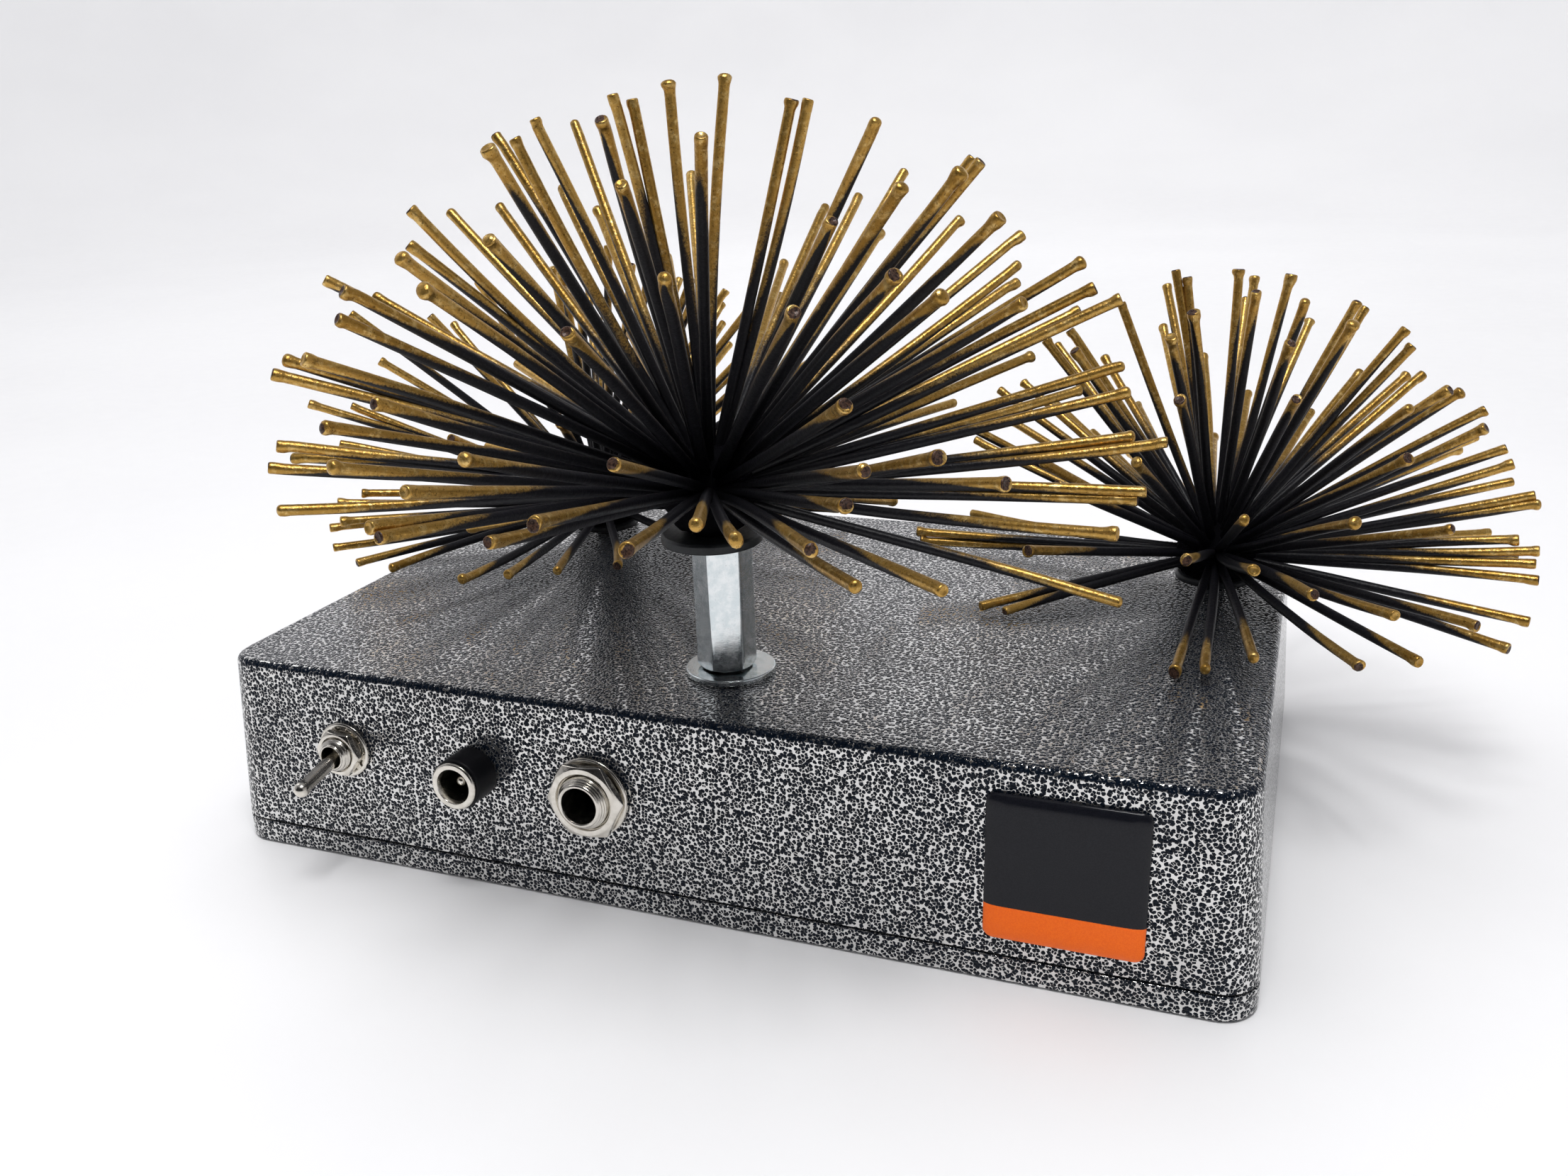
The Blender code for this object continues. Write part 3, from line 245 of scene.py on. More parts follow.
# ---------------------------------------------------------------------------------- materials
def vein_paint():
    """Silver hammertone network round blue-black dots, in a smooth glossy skin."""
    g = Graph("vein_paint", Specular_IOR_Level=0.13)
    at = g.place()
    skin = g.node("ShaderNodeUVMap", uv_map="skin").outputs["UV"]
    wobble = g.node("ShaderNodeTexNoise", {"Vector": skin, "Scale": 2.4, "Detail": 1.5})
    shift = g.node("ShaderNodeVectorMath", {0: wobble.outputs["Color"], 1: (0.5, 0.5, 0.5)},
                   operation="SUBTRACT")
    push = g.node("ShaderNodeVectorMath", {0: shift.outputs[0], "Scale": 0.36}, operation="SCALE")
    moved = g.node("ShaderNodeVectorMath", {0: skin, 1: push.outputs[0]}, operation="ADD").outputs[0]
    pitch = 0.66
    near = g.node("ShaderNodeTexVoronoi", {"Vector": moved, "Scale": 1.0 / pitch},
                  feature="F1", voronoi_dimensions="2D").outputs["Distance"]
    edge = g.node("ShaderNodeTexVoronoi", {"Vector": moved, "Scale": 1.0 / pitch},
                  feature="DISTANCE_TO_EDGE", voronoi_dimensions="2D").outputs["Distance"]
    drift = g.noise(at, 0.10, 2.0, 0.6)
    patch = g.noise(skin, 1.05, 1.0, 0.5)
    size = g.math("ADD", g.span(drift, 0.30, 0.70, 0.575, 0.535, False),
                  g.span(patch, 0.34, 0.66, 0.08, -0.08, False))
    blob = g.math("SUBTRACT", size, near)
    line = g.math("SUBTRACT", edge, g.span(patch, 0.40, 0.56, -0.02, 0.085, False))
    dark = g.math("SMOOTH_MIN", blob, line, 0.05)
    high = g.node("ShaderNodeSeparateXYZ", {"Vector": at}).outputs["Z"]
    rim = g.math("MULTIPLY", g.span(high, BOX_H - 1.10, BOX_H - 0.72),
                 g.span(high, BOX_H - 0.26, BOX_H - 0.10, 1.0, 0.0))
    dark = g.math("ADD", dark, g.math("MULTIPLY", rim, g.span(g.noise(at, 1.1, 2.0), 0.38, 0.62,
                                                              0.04, 0.40, False)))
    mask = g.span(dark, -0.020, 0.030)
    tone = g.noise(at, 0.10, 2.0)
    silver = g.mix(g.span(tone, 0.35, 0.65), (0.66, 0.652, 0.64), (0.76, 0.752, 0.74))
    ink = g.mix(g.span(g.noise(at, 2.2, 1.0), 0.35, 0.65), (0.0022, 0.0042, 0.0085),
                (0.0048, 0.0085, 0.0160))
    g.set("Base Color", g.mix(mask, silver, ink))
    g.set("Metallic", g.math("SUBTRACT", 0.94, g.math("MULTIPLY", mask, 0.94)))
    fine = g.noise(at, 9.0, 2.0)
    rough = g.math("ADD", g.span(mask, 0.0, 1.0, 0.085, 0.05, False),
                   g.span(fine, 0.3, 0.7, -0.015, 0.03, False))
    g.set("Roughness", rough)
    relief = g.math("ADD", g.span(dark, -0.16, 0.16, 1.0, 0.0), g.math("MULTIPLY", fine, 0.06))
    broad = g.noise(at, 0.07, 2.0)
    first = g.bump(relief, 0.020, 0.7)
    dome = g.bump(g.span(near, 0.04, 0.62, 1.0, 0.0), 0.095, 1.0, first)
    g.set("Normal", g.bump(broad, 0.08, 0.4, dome))
    return g.mat


def rod_paint():
    """Black root, gold outer part sprayed on in a soft, speckled edge, some tips left bare."""
    g = Graph("rod_black_and_gold", Specular_IOR_Level=0.26)
    at = g.place()
    back = g.node("ShaderNodeAttribute", attribute_name="from_tip").outputs["Fac"]
    sort = g.node("ShaderNodeAttribute", attribute_name="rod_sort").outputs["Fac"]
    reach = g.node("ShaderNodeAttribute", attribute_name="gold_reach").outputs["Fac"]
    bare = g.node("ShaderNodeAttribute", attribute_name="bare").outputs["Fac"]
    cloud = g.noise(at, 0.16, 3.0, 0.6)
    grain = g.noise(at, 3.4, 3.0, 0.65)
    share = g.math("DIVIDE", back, reach)
    share = g.math("ADD", share, g.span(cloud, 0.3, 0.7, -0.16, 0.16, False))
    gold = g.span(share, 1.40, 0.66)
    edge = g.math("MULTIPLY", gold, g.math("SUBTRACT", 1.0, gold))
    gold = g.math("ADD", gold, g.math("MULTIPLY", edge, g.span(grain, 0.3, 0.7, -1.7, 1.7, False)),
                  clamp=True)
    leaf = g.mix(sort, (0.38, 0.215, 0.046), (0.55, 0.33, 0.085))
    # Pale gold patches laid on by noise: painted highlights.
    leaf = g.mix(g.span(g.noise(at, 0.8, 3.0, 0.6), 0.48, 0.75), leaf, (0.74, 0.52, 0.20))
    flecks = g.span(g.noise(at, 2.6, 2.0, 0.7), 0.58, 0.70)
    leaf = g.mix(g.math("MULTIPLY", flecks, 0.75), leaf, (0.10, 0.050, 0.014))
    black = g.mix(g.span(grain, 0.45, 0.7), (0.0050, 0.0050, 0.0072), (0.015, 0.0145, 0.017))
    # Darker still towards the hub and on the weld ball: painted shade where the rods crowd together.
    black = g.mix(g.span(back, 36.0, 66.0), black, (0.0018, 0.0017, 0.0024))
    paint = g.mix(gold, black, leaf)
    steel = g.mix(g.span(grain, 0.4, 0.6), (0.020, 0.012, 0.010), (0.085, 0.045, 0.030))
    worn = g.span(g.math("ADD", bare, g.span(grain, 0.3, 0.7, -0.3, 0.3, False)), 0.35, 0.65)
    g.set("Base Color", g.mix(worn, paint, steel))
    g.set("Specular IOR Level", g.span(back, 66.0, 80.0, 0.26, 0.03))
    shine = g.math("MULTIPLY", gold, g.math("SUBTRACT", 1.0, g.math("MULTIPLY", worn, 0.8)))
    g.set("Metallic", g.math("MULTIPLY", shine, 0.85))
    rough = g.math("ADD", g.span(gold, 0.0, 1.0, 0.36, 0.30, False),
                   g.span(grain, 0.3, 0.7, -0.05, 0.09, False))
    g.set("Roughness", g.math("MAXIMUM", rough, g.span(back, 66.0, 80.0, 0.0, 0.8)))
    lumps = g.noise(at, 1.25, 3.0, 0.6)
    first = g.bump(lumps, 0.16, 0.55)
    g.set("Normal", g.bump(grain, 0.045, 0.6, first))
    return g.mat


def plated(name, low, high, rough, mottle=0.7, scratch=0.5, pits=0.0):
    """Plated metal: cloudy colour, fine scratches both ways and small pits."""
    g = Graph(name)
    at = g.place()
    cloud = g.noise(at, mottle, 4.0, 0.62)
    colour = g.mix(g.span(cloud, 0.34, 0.66), low, high)
    across = g.place(stretch=(0.7, 0.7, 9.0))
    along = g.place(stretch=(9.0, 9.0, 0.7))
    lines = g.math("ADD", g.noise(across, 1.4, 3.0, 0.7), g.noise(along, 1.1, 3.0, 0.7))
    spots = g.span(g.noise(at, 4.2, 2.0, 0.6), 0.66, 0.74)
    colour = g.mix(g.math("MULTIPLY", spots, pits), colour, (0.22, 0.22, 0.21))
    g.set("Base Color", colour)
    g.bsdf.inputs["Metallic"].default_value = 1.0
    g.set("Roughness", g.math("ADD", g.span(cloud, 0.3, 0.7, rough * 0.8, rough * 1.3, False),
                              g.span(lines, 0.8, 1.25, -0.02, 0.08, False)))
    first = g.bump(lines, 0.010, scratch)
    g.set("Normal", g.bump(g.noise(at, 0.9, 2.0), 0.03, 0.45, first))
    return g.mat


def moulded(name, low, high, rough, grain=2.4, relief=0.02, spec=0.5):
    """Moulded or painted surface with a fine grain and slight colour drift."""
    g = Graph(name, Specular_IOR_Level=spec)
    at = g.place()
    drift = g.noise(at, 0.25, 3.0, 0.6)
    fine = g.noise(at, grain, 3.0, 0.6)
    blend = g.math("ADD", g.math("MULTIPLY", drift, 0.6), g.math("MULTIPLY", fine, 0.4))
    g.set("Base Color", g.mix(g.span(blend, 0.36, 0.64), low, high))
    g.set("Roughness", g.span(fine, 0.3, 0.7, rough - 0.07, rough + 0.09, False))
    g.set("Normal", g.bump(fine, relief, 0.6))
    return g.mat


def badge_print():
    """Plain black field over a plain orange one, under a clear cast dome."""
    g = Graph("domed_badge", Specular_IOR_Level=0.05, Coat_Weight=1.0, Coat_Roughness=0.02,
              Coat_IOR=1.30)
    at = g.place()
    split = g.node("ShaderNodeSeparateXYZ", {"Vector": at})
    ragged = g.noise(at, 6.0, 2.0)
    line = g.math("ADD", split.outputs["Y"], g.span(ragged, 0.3, 0.7, -0.02, 0.02, False))
    upper = g.span(line, -6.29, -6.23)
    dots = g.noise(at, 5.0, 2.0)
    black = g.mix(g.span(dots, 0.4, 0.6), (0.0045, 0.0050, 0.0080), (0.0080, 0.0085, 0.0120))
    orange = g.mix(g.span(dots, 0.4, 0.6), (0.94, 0.135, 0.001), (0.99, 0.160, 0.003))
    g.set("Base Color", g.mix(upper, orange, black))
    g.set("Roughness", g.span(dots, 0.3, 0.7, 0.42, 0.55, False))
    g.set("Coat Normal", g.bump(g.noise(at, 0.35, 1.0), 0.02, 0.3))
    return g.mat


def board_green():
    """Solder mask with lighter tracks under it."""
    g = Graph("circuit_board", Specular_IOR_Level=0.5)
    at = g.place()
    cells = g.node("ShaderNodeTexVoronoi", {"Vector": at, "Scale": 0.22}, feature="F1",
                   distance="CHEBYCHEV").outputs["Distance"]
    tracks = g.span(g.math("PINGPONG", cells, 0.12), 0.045, 0.055)
    g.set("Base Color", g.mix(tracks, (0.015, 0.085, 0.035), (0.035, 0.17, 0.07)))
    g.set("Roughness", g.span(g.noise(at, 2.0), 0.3, 0.7, 0.28, 0.42, False))
    g.set("Normal", g.bump(tracks, 0.03, 0.5))
    return g.mat


def floor_white():
    """White table top with a faint sheen."""
    g = Graph("floor_white", Specular_IOR_Level=0.35)
    at = g.place()
    cloud = g.noise(at, 0.004, 3.0)
    g.set("Base Color", g.mix(g.span(cloud, 0.3, 0.7), (0.835, 0.832, 0.842),
                              (0.865, 0.862, 0.870)))
    g.set("Roughness", g.span(g.noise(at, 0.12, 3.0), 0.3, 0.7, 0.30, 0.42, False))
    g.set("Normal", g.bump(g.noise(at, 0.5, 3.0), 0.02, 0.2))
    return g.mat


PAINT = vein_paint()
RODS = rod_paint()
NICKEL = plated("nickel", (0.66, 0.625, 0.56), (0.80, 0.765, 0.70), 0.17, 0.5, 0.5, 0.15)
ZINC = plated("zinc", (0.66, 0.72, 0.735), (0.83, 0.86, 0.865), 0.14, 0.65, 0.55, 0.55)
STEEL = plated("steel", (0.42, 0.43, 0.45), (0.58, 0.59, 0.61), 0.30, 0.8, 0.6, 0.3)
TIN = plated("tinned_contact", (0.62, 0.62, 0.60), (0.78, 0.78, 0.76), 0.26, 0.9, 0.5, 0.2)
BRASS = plated("brass", (0.62, 0.42, 0.15), (0.80, 0.60, 0.26), 0.28, 0.4, 0.6, 0.25)
BLACK_METAL = moulded("black_metal", (0.008, 0.009, 0.010), (0.018, 0.020, 0.022), 0.40, 1.8,
                      0.03, 0.35)
BLACK_PLASTIC = moulded("black_plastic", (0.0030, 0.0030, 0.0042), (0.0065, 0.0065, 0.0080), 0.36,
                        3.2, 0.012, 0.18)
RED_PLASTIC = moulded("red_phenolic", (0.20, 0.030, 0.018), (0.32, 0.060, 0.035), 0.42, 1.6, 0.02)
BADGE = badge_print()
BOARD = board_green()
CERAMIC = moulded("white_ceramic", (0.74, 0.73, 0.69), (0.85, 0.84, 0.80), 0.60, 1.8, 0.02)
CAPACITOR = moulded("capacitor_sleeve", (0.025, 0.040, 0.13), (0.04, 0.065, 0.18), 0.32, 1.4, 0.01)
WIRE_RED = moulded("wire_red", (0.42, 0.018, 0.012), (0.56, 0.035, 0.022), 0.42, 1.5, 0.01)
WIRE_BLACK = moulded("wire_black", (0.012, 0.012, 0.013), (0.024, 0.024, 0.026), 0.42, 1.5, 0.01)
WIRE_GREY = moulded("wire_grey", (0.27, 0.27, 0.28), (0.38, 0.38, 0.39), 0.42, 1.5, 0.01)
CHIP = moulded("chip_epoxy", (0.010, 0.010, 0.011), (0.022, 0.022, 0.023), 0.62, 3.0, 0.015)


# ------------------------------------------------------------------------------- mesh helpers
def finish_mesh(name, bm, mat, matrix=None, angle=32.0, weighted=True):
    """Turns a bmesh (in mm) into a piece at its place."""
    bmesh.ops.recalc_face_normals(bm, faces=bm.faces)
    for f in bm.faces:
        f.smooth = True
    bmesh.ops.scale(bm, vec=(MM, MM, MM), verts=bm.verts)
    me = bpy.data.meshes.new(name)
    bm.to_mesh(me)
    bm.free()
    me.set_sharp_from_angle(angle=math.radians(angle))
    ob = bpy.data.objects.new(name, me)
    LOOK.objects.link(ob)
    if mat is not None:
        me.materials.append(mat)
    if matrix is not None:
        ob.matrix_world = matrix
    if weighted:
        mod = ob.modifiers.new("flat_normals", "WEIGHTED_NORMAL")
        mod.keep_sharp, mod.weight = True, 60
    return ob


def rounded(points, r=0.12, n=3, closed=False):
    """Rounds the corners of a drawn outline."""
    out = []
    count = len(points)
    for i, p in enumerate(points):
        b = Vector(p)
        if not closed and i in (0, count - 1):
            out.append(b)
            continue
        u, v = Vector(points[i - 1]) - b, Vector(points[(i + 1) % count]) - b
        k = min(r, 0.45 * u.length, 0.45 * v.length)
        a, c = b + u.normalized() * k, b + v.normalized() * k
        for j in range(n + 1):
            t = j / n
            out.append(a * (1 - t) ** 2 + b * 2 * t * (1 - t) + c * t * t)
    return out


def lathe(profile, steps=72, closed=False, warp=None):
    """A turned piece: profile is (radius, height); warp(r, z, angle) may bend the radius."""
    bm = bmesh.new()
    rows = []
    for r, z in profile:
        if r < 1e-6:
            rows.append([bm.verts.new((0, 0, z))])
            continue
        row = []
        for i in range(steps):
            a = 2 * math.pi * i / steps
            q = warp(r, z, a) if warp else r
            row.append(bm.verts.new((q * math.cos(a), q * math.sin(a), z)))
        rows.append(row)
    pairs = list(zip(rows, rows[1:])) + ([(rows[-1], rows[0])] if closed else [])
    for a, b in pairs:
        for i in range(steps):
            j = (i + 1) % steps
            if len(a) == 1 and len(b) == 1:
                continue
            if len(a) == 1:
                bm.faces.new((a[0], b[i], b[j]))
            elif len(b) == 1:
                bm.faces.new((a[i], b[0], a[j]))
            else:
                bm.faces.new((a[i], b[i], b[j], a[j]))
    return bm


def turned(name, profile, mat, matrix=None, steps=72, closed=False, round_by=0.1, warp=None,
           angle=32.0, **kw):
    prof = rounded(profile, round_by, 3, closed) if round_by else profile
    return finish_mesh(name, lathe(prof, steps, closed, warp), mat, matrix, angle, **kw)


def thread(r_out, depth, pitch, z0, z1):
    """A warp that cuts a screw thread of that pitch between two heights."""
    def bend(r, z, a):
        if r < r_out - 0.02 or not z0 <= z <= z1:
            return r
        t = (z / pitch - a / (2 * math.pi)) % 1.0
        v = abs(2 * t - 1)
        ease = min(1.0, (z - z0) / pitch, (z1 - z) / (pitch * 0.5))
        return r - depth * min(1.0, max(0.0, 1.25 * v - 0.1)) * max(ease, 0.0)
    return bend


def dense(r, z_from, z_to, step):
    """Closely spaced profile points along a cylinder."""
    n = max(2, int(abs(z_to - z_from) / step))
    return [(r, z_from + (z_to - z_from) * i / n) for i in range(n + 1)]


def hex_nut(name, af, z0, z1, bore, mat, matrix=None, yaw=0.0, edge_r=0.22, flat_ring=0.94,
            lead=0.35, bottom=True):
    """A hexagon nut: corners turned off at 30 degrees, softened edges, a countersunk bore."""
    corner = af / math.sqrt(3)
    outline = rounded([(corner * math.cos(math.radians(60 * k)), corner * math.sin(math.radians(60 * k)))
                       for k in range(6)], edge_r / math.tan(math.radians(60)) * 1.2, 4, True)
    pts = []
    for i, p in enumerate(outline):
        q = outline[(i + 1) % len(outline)]
        n = 9 if (q - p).length > af * 0.2 else 1
        pts += [p.lerp(q, k / n) for k in range(n)]
    rc = af / 2 * flat_ring
    slope = math.tan(math.radians(30))
    bm = bmesh.new()
    rows = []

    def row(radius_of, z_of):
        made = []
        for p in pts:
            d, r = p.normalized(), p.length
            made.append(bm.verts.new((*(d * radius_of(r)), z_of(r))))
        rows.append(made)

    def low(r):
        return (r - rc) * slope

    row(lambda r: bore, lambda r: z1 - lead)
    row(lambda r: bore + lead * 0.9, lambda r: z1 - 0.02)
    row(lambda r: bore + lead * 0.9 + 0.08, lambda r: z1)
    row(lambda r: rc - 0.06, lambda r: z1)
    row(lambda r: rc + 0.06, lambda r: z1 - 0.06 * slope)
    row(lambda r: r - 0.07, lambda r: z1 - low(r - 0.07))
    row(lambda r: r, lambda r: z1 - low(r) - 0.07)
    if bottom:
        row(lambda r: r, lambda r: z0 + low(r) + 0.07)
        row(lambda r: r - 0.07, lambda r: z0 + low(r - 0.07))
        row(lambda r: rc + 0.06, lambda r: z0 + 0.06 * slope)
        row(lambda r: rc - 0.06, lambda r: z0)
    else:
        row(lambda r: r, lambda r: z0 + 0.06)
        row(lambda r: r - 0.06, lambda r: z0)
    row(lambda r: bore + lead * 0.9, lambda r: z0)
    row(lambda r: bore, lambda r: z0 + lead)
    n = len(pts)
    for a, b in list(zip(rows, rows[1:])) + [(rows[-1], rows[0])]:
        for i in range(n):
            j = (i + 1) % n
            bm.faces.new((a[i], b[i], b[j], a[j]))
    turn = Matrix.Rotation(yaw, 4, "Z")
    bmesh.ops.transform(bm, matrix=turn, verts=bm.verts)
    return finish_mesh(name, bm, mat, matrix, 24.0)


def stand_in(ob, body, slot, *nodes):
    """The piece moves with a body and stands for CAD nodes; slot is not used."""
    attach(ob, body)
    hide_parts(*nodes)
    return ob


def solid(name, bm, matrix=None):
    """A cutter or a raw block, in mm."""
    bmesh.ops.recalc_face_normals(bm, faces=bm.faces)
    bmesh.ops.scale(bm, vec=(MM, MM, MM), verts=bm.verts)
    me = bpy.data.meshes.new(name)
    bm.to_mesh(me)
    bm.free()
    ob = bpy.data.objects.new(name, me)
    LOOK.objects.link(ob)
    if matrix is not None:
        ob.matrix_world = matrix
    return ob


def add_box(bm, low, high):
    low, high = Vector(low), Vector(high)
    mat = Matrix.Translation((low + high) / 2) @ Matrix.Diagonal((*(high - low), 1.0))
    return bmesh.ops.create_cube(bm, size=1.0, matrix=mat)["verts"]


def add_rod(bm, p, q, r, seg):
    p, q = Vector(p), Vector(q)
    d = q - p
    mat = Matrix.Translation((p + q) / 2) @ d.to_track_quat("Z", "Y").to_matrix().to_4x4()
    bmesh.ops.create_cone(bm, cap_ends=True, segments=seg, radius1=r, radius2=r, depth=d.length,
                          matrix=mat)


def side_inset(z, total=DRAFT):
    return total * (z - BODY_Z0) / (BOX_H - BODY_Z0)


def shell(name, z0, z1, inset, corner, top_round=0.0, bottom_round=0.0, draft=True, seg=9, rim=5):
    """A rounded, drafted block of the box's outline."""
    bm = bmesh.new()
    add_box(bm, (-1, -1, z0), (1, 1, z1))
    for v in bm.verts:
        lx, ly = (side_inset(v.co.z, END_DRAFT), side_inset(v.co.z)) if draft else (0.0, 0.0)
        v.co.x = math.copysign(BOX_L / 2 - inset - lx, v.co.x)
        v.co.y = math.copysign(BOX_W / 2 - inset - ly, v.co.y)
    upright = [e for e in bm.edges if abs(e.verts[0].co.z - e.verts[1].co.z) > 0.5]
    bmesh.ops.bevel(bm, geom=upright, offset=corner, segments=seg, profile=0.5, affect="EDGES",
                    clamp_overlap=True)
    for level, radius in ((z1, top_round), (z0, bottom_round)):
        if radius:
            edge = [e for e in bm.edges if all(abs(v.co.z - level) < 1e-3 for v in e.verts)]
            bmesh.ops.bevel(bm, geom=edge, offset=radius, segments=rim, profile=0.5,
                            affect="EDGES", clamp_overlap=True)
    return solid(name, bm)


def carve(ob, steps, name, mat, angle=32.0):
    """Runs exact booleans on ob, then makes the result one plain mesh and drops the cutters."""
    for other, how in steps:
        mod = ob.modifiers.new("step", "BOOLEAN")
        mod.operation, mod.object, mod.solver = how, other, "EXACT"
    bpy.context.view_layer.update()
    deps = bpy.context.evaluated_depsgraph_get()
    made = bpy.data.meshes.new_from_object(ob.evaluated_get(deps))
    made.name = name
    made.materials.clear()
    made.materials.append(mat)
    made.shade_smooth()
    made.set_sharp_from_angle(angle=math.radians(angle))
    place = ob.matrix_world.copy()
    for other in {s[0] for s in steps} | {ob}:
        bpy.data.objects.remove(other, do_unlink=True)
    out = bpy.data.objects.new(name, made)
    LOOK.objects.link(out)
    out.matrix_world = place
    mod = out.modifiers.new("flat_normals", "WEIGHTED_NORMAL")
    mod.keep_sharp, mod.weight = True, 60
    return out


def unroll(ob):
    """Lays the outline's sides out flat in a map, in mm, and the roof and the floor beside them."""
    me = ob.data
    hx, hy, r = BOX_L / 2, BOX_W / 2, CORNER_R
    quarter = r * math.pi / 2

    def along(x, y):
        """Way round the outline from the middle of the front, for x >= 0."""
        if x > hx - r and y < -(hy - r):
            return hx - r + r * (math.pi / 2 + math.atan2(y + hy - r, x - hx + r))
        if x > hx - r and y > hy - r:
            return hx - r + quarter + 2 * (hy - r) + r * math.atan2(y - hy + r, x - hx + r)
        if hx - x < hy - abs(y):
            return hx - r + quarter + (y + hy - r)
        if y < 0:
            return x
        return hx - r + 2 * quarter + 2 * (hy - r) + (hx - r - x)

    skin = me.uv_layers.new(name="skin")
    for poly in me.polygons:
        side = 1.0 if poly.center.x >= 0 else -1.0
        for k in poly.loop_indices:
            p = me.vertices[me.loops[k].vertex_index].co * 1000
            if abs(poly.normal.z) > 0.8:
                uv = (p.x, p.y + (150.0 if poly.normal.z > 0 else -150.0))
            else:
                x = side * p.x
                uv = (side * (along(x, p.y) if x > 0 or p.y > 0 else x), p.z)
            skin.data[k].uv = uv
    return ob


FRONT = (Matrix.Translation(Vector((0, -BOX_W / 2 + side_inset(FRONT_MID_Z), FRONT_MID_Z)) * MM)
         @ Matrix.Rotation(math.pi / 2 - TILT, 4, "X"))


def on_front(x, z, turn=0.0):
    return FRONT @ Matrix.Translation(Vector((x, (z - FRONT_MID_Z) / math.cos(TILT), 0)) * MM) \
        @ Matrix.Rotation(turn, 4, "Z")


def upright_at(x, y, z=0.0):
    return Matrix.Translation(Vector((x, y, z)) * MM)


TOGGLE, POWER, JACK = (on_front(TOGGLE_X, TOGGLE_Z), on_front(POWER_X, POWER_Z),
                       on_front(JACK_X, JACK_Z))

# ---------------------------------------------------------------------------------- enclosure
body = shell("raw_body", BODY_Z0, BOX_H, 0.0, CORNER_R, TOP_EDGE_R, 0.35, True, 10, 6)
cavity = shell("cut_cavity", BODY_Z0 - 3, ROOF_Z, WALL, CORNER_R - WALL, 0.8, 0.0, True, 8, 3)
bm = bmesh.new()
for x, y in PILLARS:
    add_rod(bm, (x, y, BODY_Z0 + GAP), (x, y, ROOF_Z + 1.1), PILLAR_R[abs(x) > 1], 28)
pillars = solid("add_pillars", bm)
bm = bmesh.new()
for x, y in PILLARS:
    add_rod(bm, (x, y, 0), (x, y, 22.5), SCREW_HOLE_R, 20)
screw_holes = solid("cut_screws", bm)
bm = bmesh.new()
for at in ((POST_X, POST_Y), (HUB_2.x, HUB_2.y), (HUB_3.x, HUB_3.y)):
    add_rod(bm, (*at, ROOF_Z - 3), (*at, BOX_H + 3), BOLT_HOLE_R, 32)
roof_holes = solid("cut_roof", bm)
steps = [(cavity, "DIFFERENCE"), (pillars, "UNION"), (screw_holes, "DIFFERENCE"),
         (roof_holes, "DIFFERENCE")]
for at, r in ((TOGGLE, 3.35), (POWER, 4.2), (JACK, 5.05)):
    bm = bmesh.new()
    add_rod(bm, (0, 0, -6), (0, 0, 4), r, 36)
    steps.append((solid("cut_panel", bm, at), "DIFFERENCE"))
stand_in(unroll(carve(body, steps, "enclosure_body_look", PAINT)), "instrument", "vein_paint",
         "enclosure_body")

lid = shell("raw_lid", 0.0, LID_H, 0.0, CORNER_R, 0.30, 0.75, False, 10, 4)
tray = shell("cut_tray", 2.2, LID_H + 3, WALL, CORNER_R - WALL, 0.0, 0.0, False, 8)
bm = bmesh.new()
for x, y in PILLARS:
    add_rod(bm, (x, y, 1.2), (x, y, BODY_Z0), PILLAR_R[abs(x) > 1] - 0.3, 28)
pads = solid("add_pads", bm)
lip_x, lip_y = BOX_L / 2 - WALL - 0.5, BOX_W / 2 - WALL - 0.5
bm = bmesh.new()
for low, high in (((-78, -lip_y, 1.4), (-8, -lip_y + 1.3, 7.0)),
                  ((8, -lip_y, 1.4), (78, -lip_y + 1.3, 7.0)),
                  ((-78, lip_y - 1.3, 1.4), (-8, lip_y, 7.0)),
                  ((8, lip_y - 1.3, 1.4), (78, lip_y, 7.0)),
                  ((-lip_x, -44, 1.4), (-lip_x + 1.3, 44, 7.0)),
                  ((lip_x - 1.3, -44, 1.4), (lip_x, 44, 7.0))):
    add_box(bm, low, high)
lips = solid("add_lips", bm)
steps = [(tray, "DIFFERENCE"), (pads, "UNION"), (lips, "UNION")]
sink = [(0, 8), (SCREW_HOLE_R, 8), (SCREW_HOLE_R, 2.55), (3.75, 0.45), (3.75, -1), (0, -1)]
for x, y in PILLARS:
    steps.append((solid("cut_sink", lathe(sink, 32), upright_at(x, y)), "DIFFERENCE"))
stand_in(unroll(carve(lid, steps, "enclosure_lid_look", PAINT)), "instrument", "vein_paint",
         "enclosure_lid")

for i, (x, y) in enumerate(PILLARS, 1):
    prof = rounded([(0, 18), (SCREW_R - 0.5, 18), (SCREW_R, 17)], 0.1, 2) \
        + [Vector(p) for p in dense(SCREW_R, 16.9, 2.7, 0.14)] \
        + rounded([(SCREW_R, 2.5), (3.25, 0.75), (3.25, 0.42), (2.6, 0.35), (0, 0.35)], 0.1, 3)
    raw = solid("raw_screw", lathe(prof, 36, False, thread(SCREW_R, 0.22, 0.7, 5.0, 16.9)),
                upright_at(x, y))
    bm = bmesh.new()
    add_box(bm, (-1.9, -0.35, -1), (1.9, 0.35, 1.2))
    bar = solid("cut_bar", bm, upright_at(x, y) @ Matrix.Rotation(0.5 * i, 4, "Z"))
    bm = bmesh.new()
    add_box(bm, (-0.35, -1.9, -1), (0.35, 1.9, 1.2))
    bar_b = solid("cut_bar", bm, upright_at(x, y) @ Matrix.Rotation(0.5 * i, 4, "Z"))
    screw = carve(raw, [(bar, "DIFFERENCE"), (bar_b, "DIFFERENCE")], "lid_screw_look_%d" % i, ZINC)
    stand_in(screw, "instrument", "zinc", "lid_screw_%d" % i)
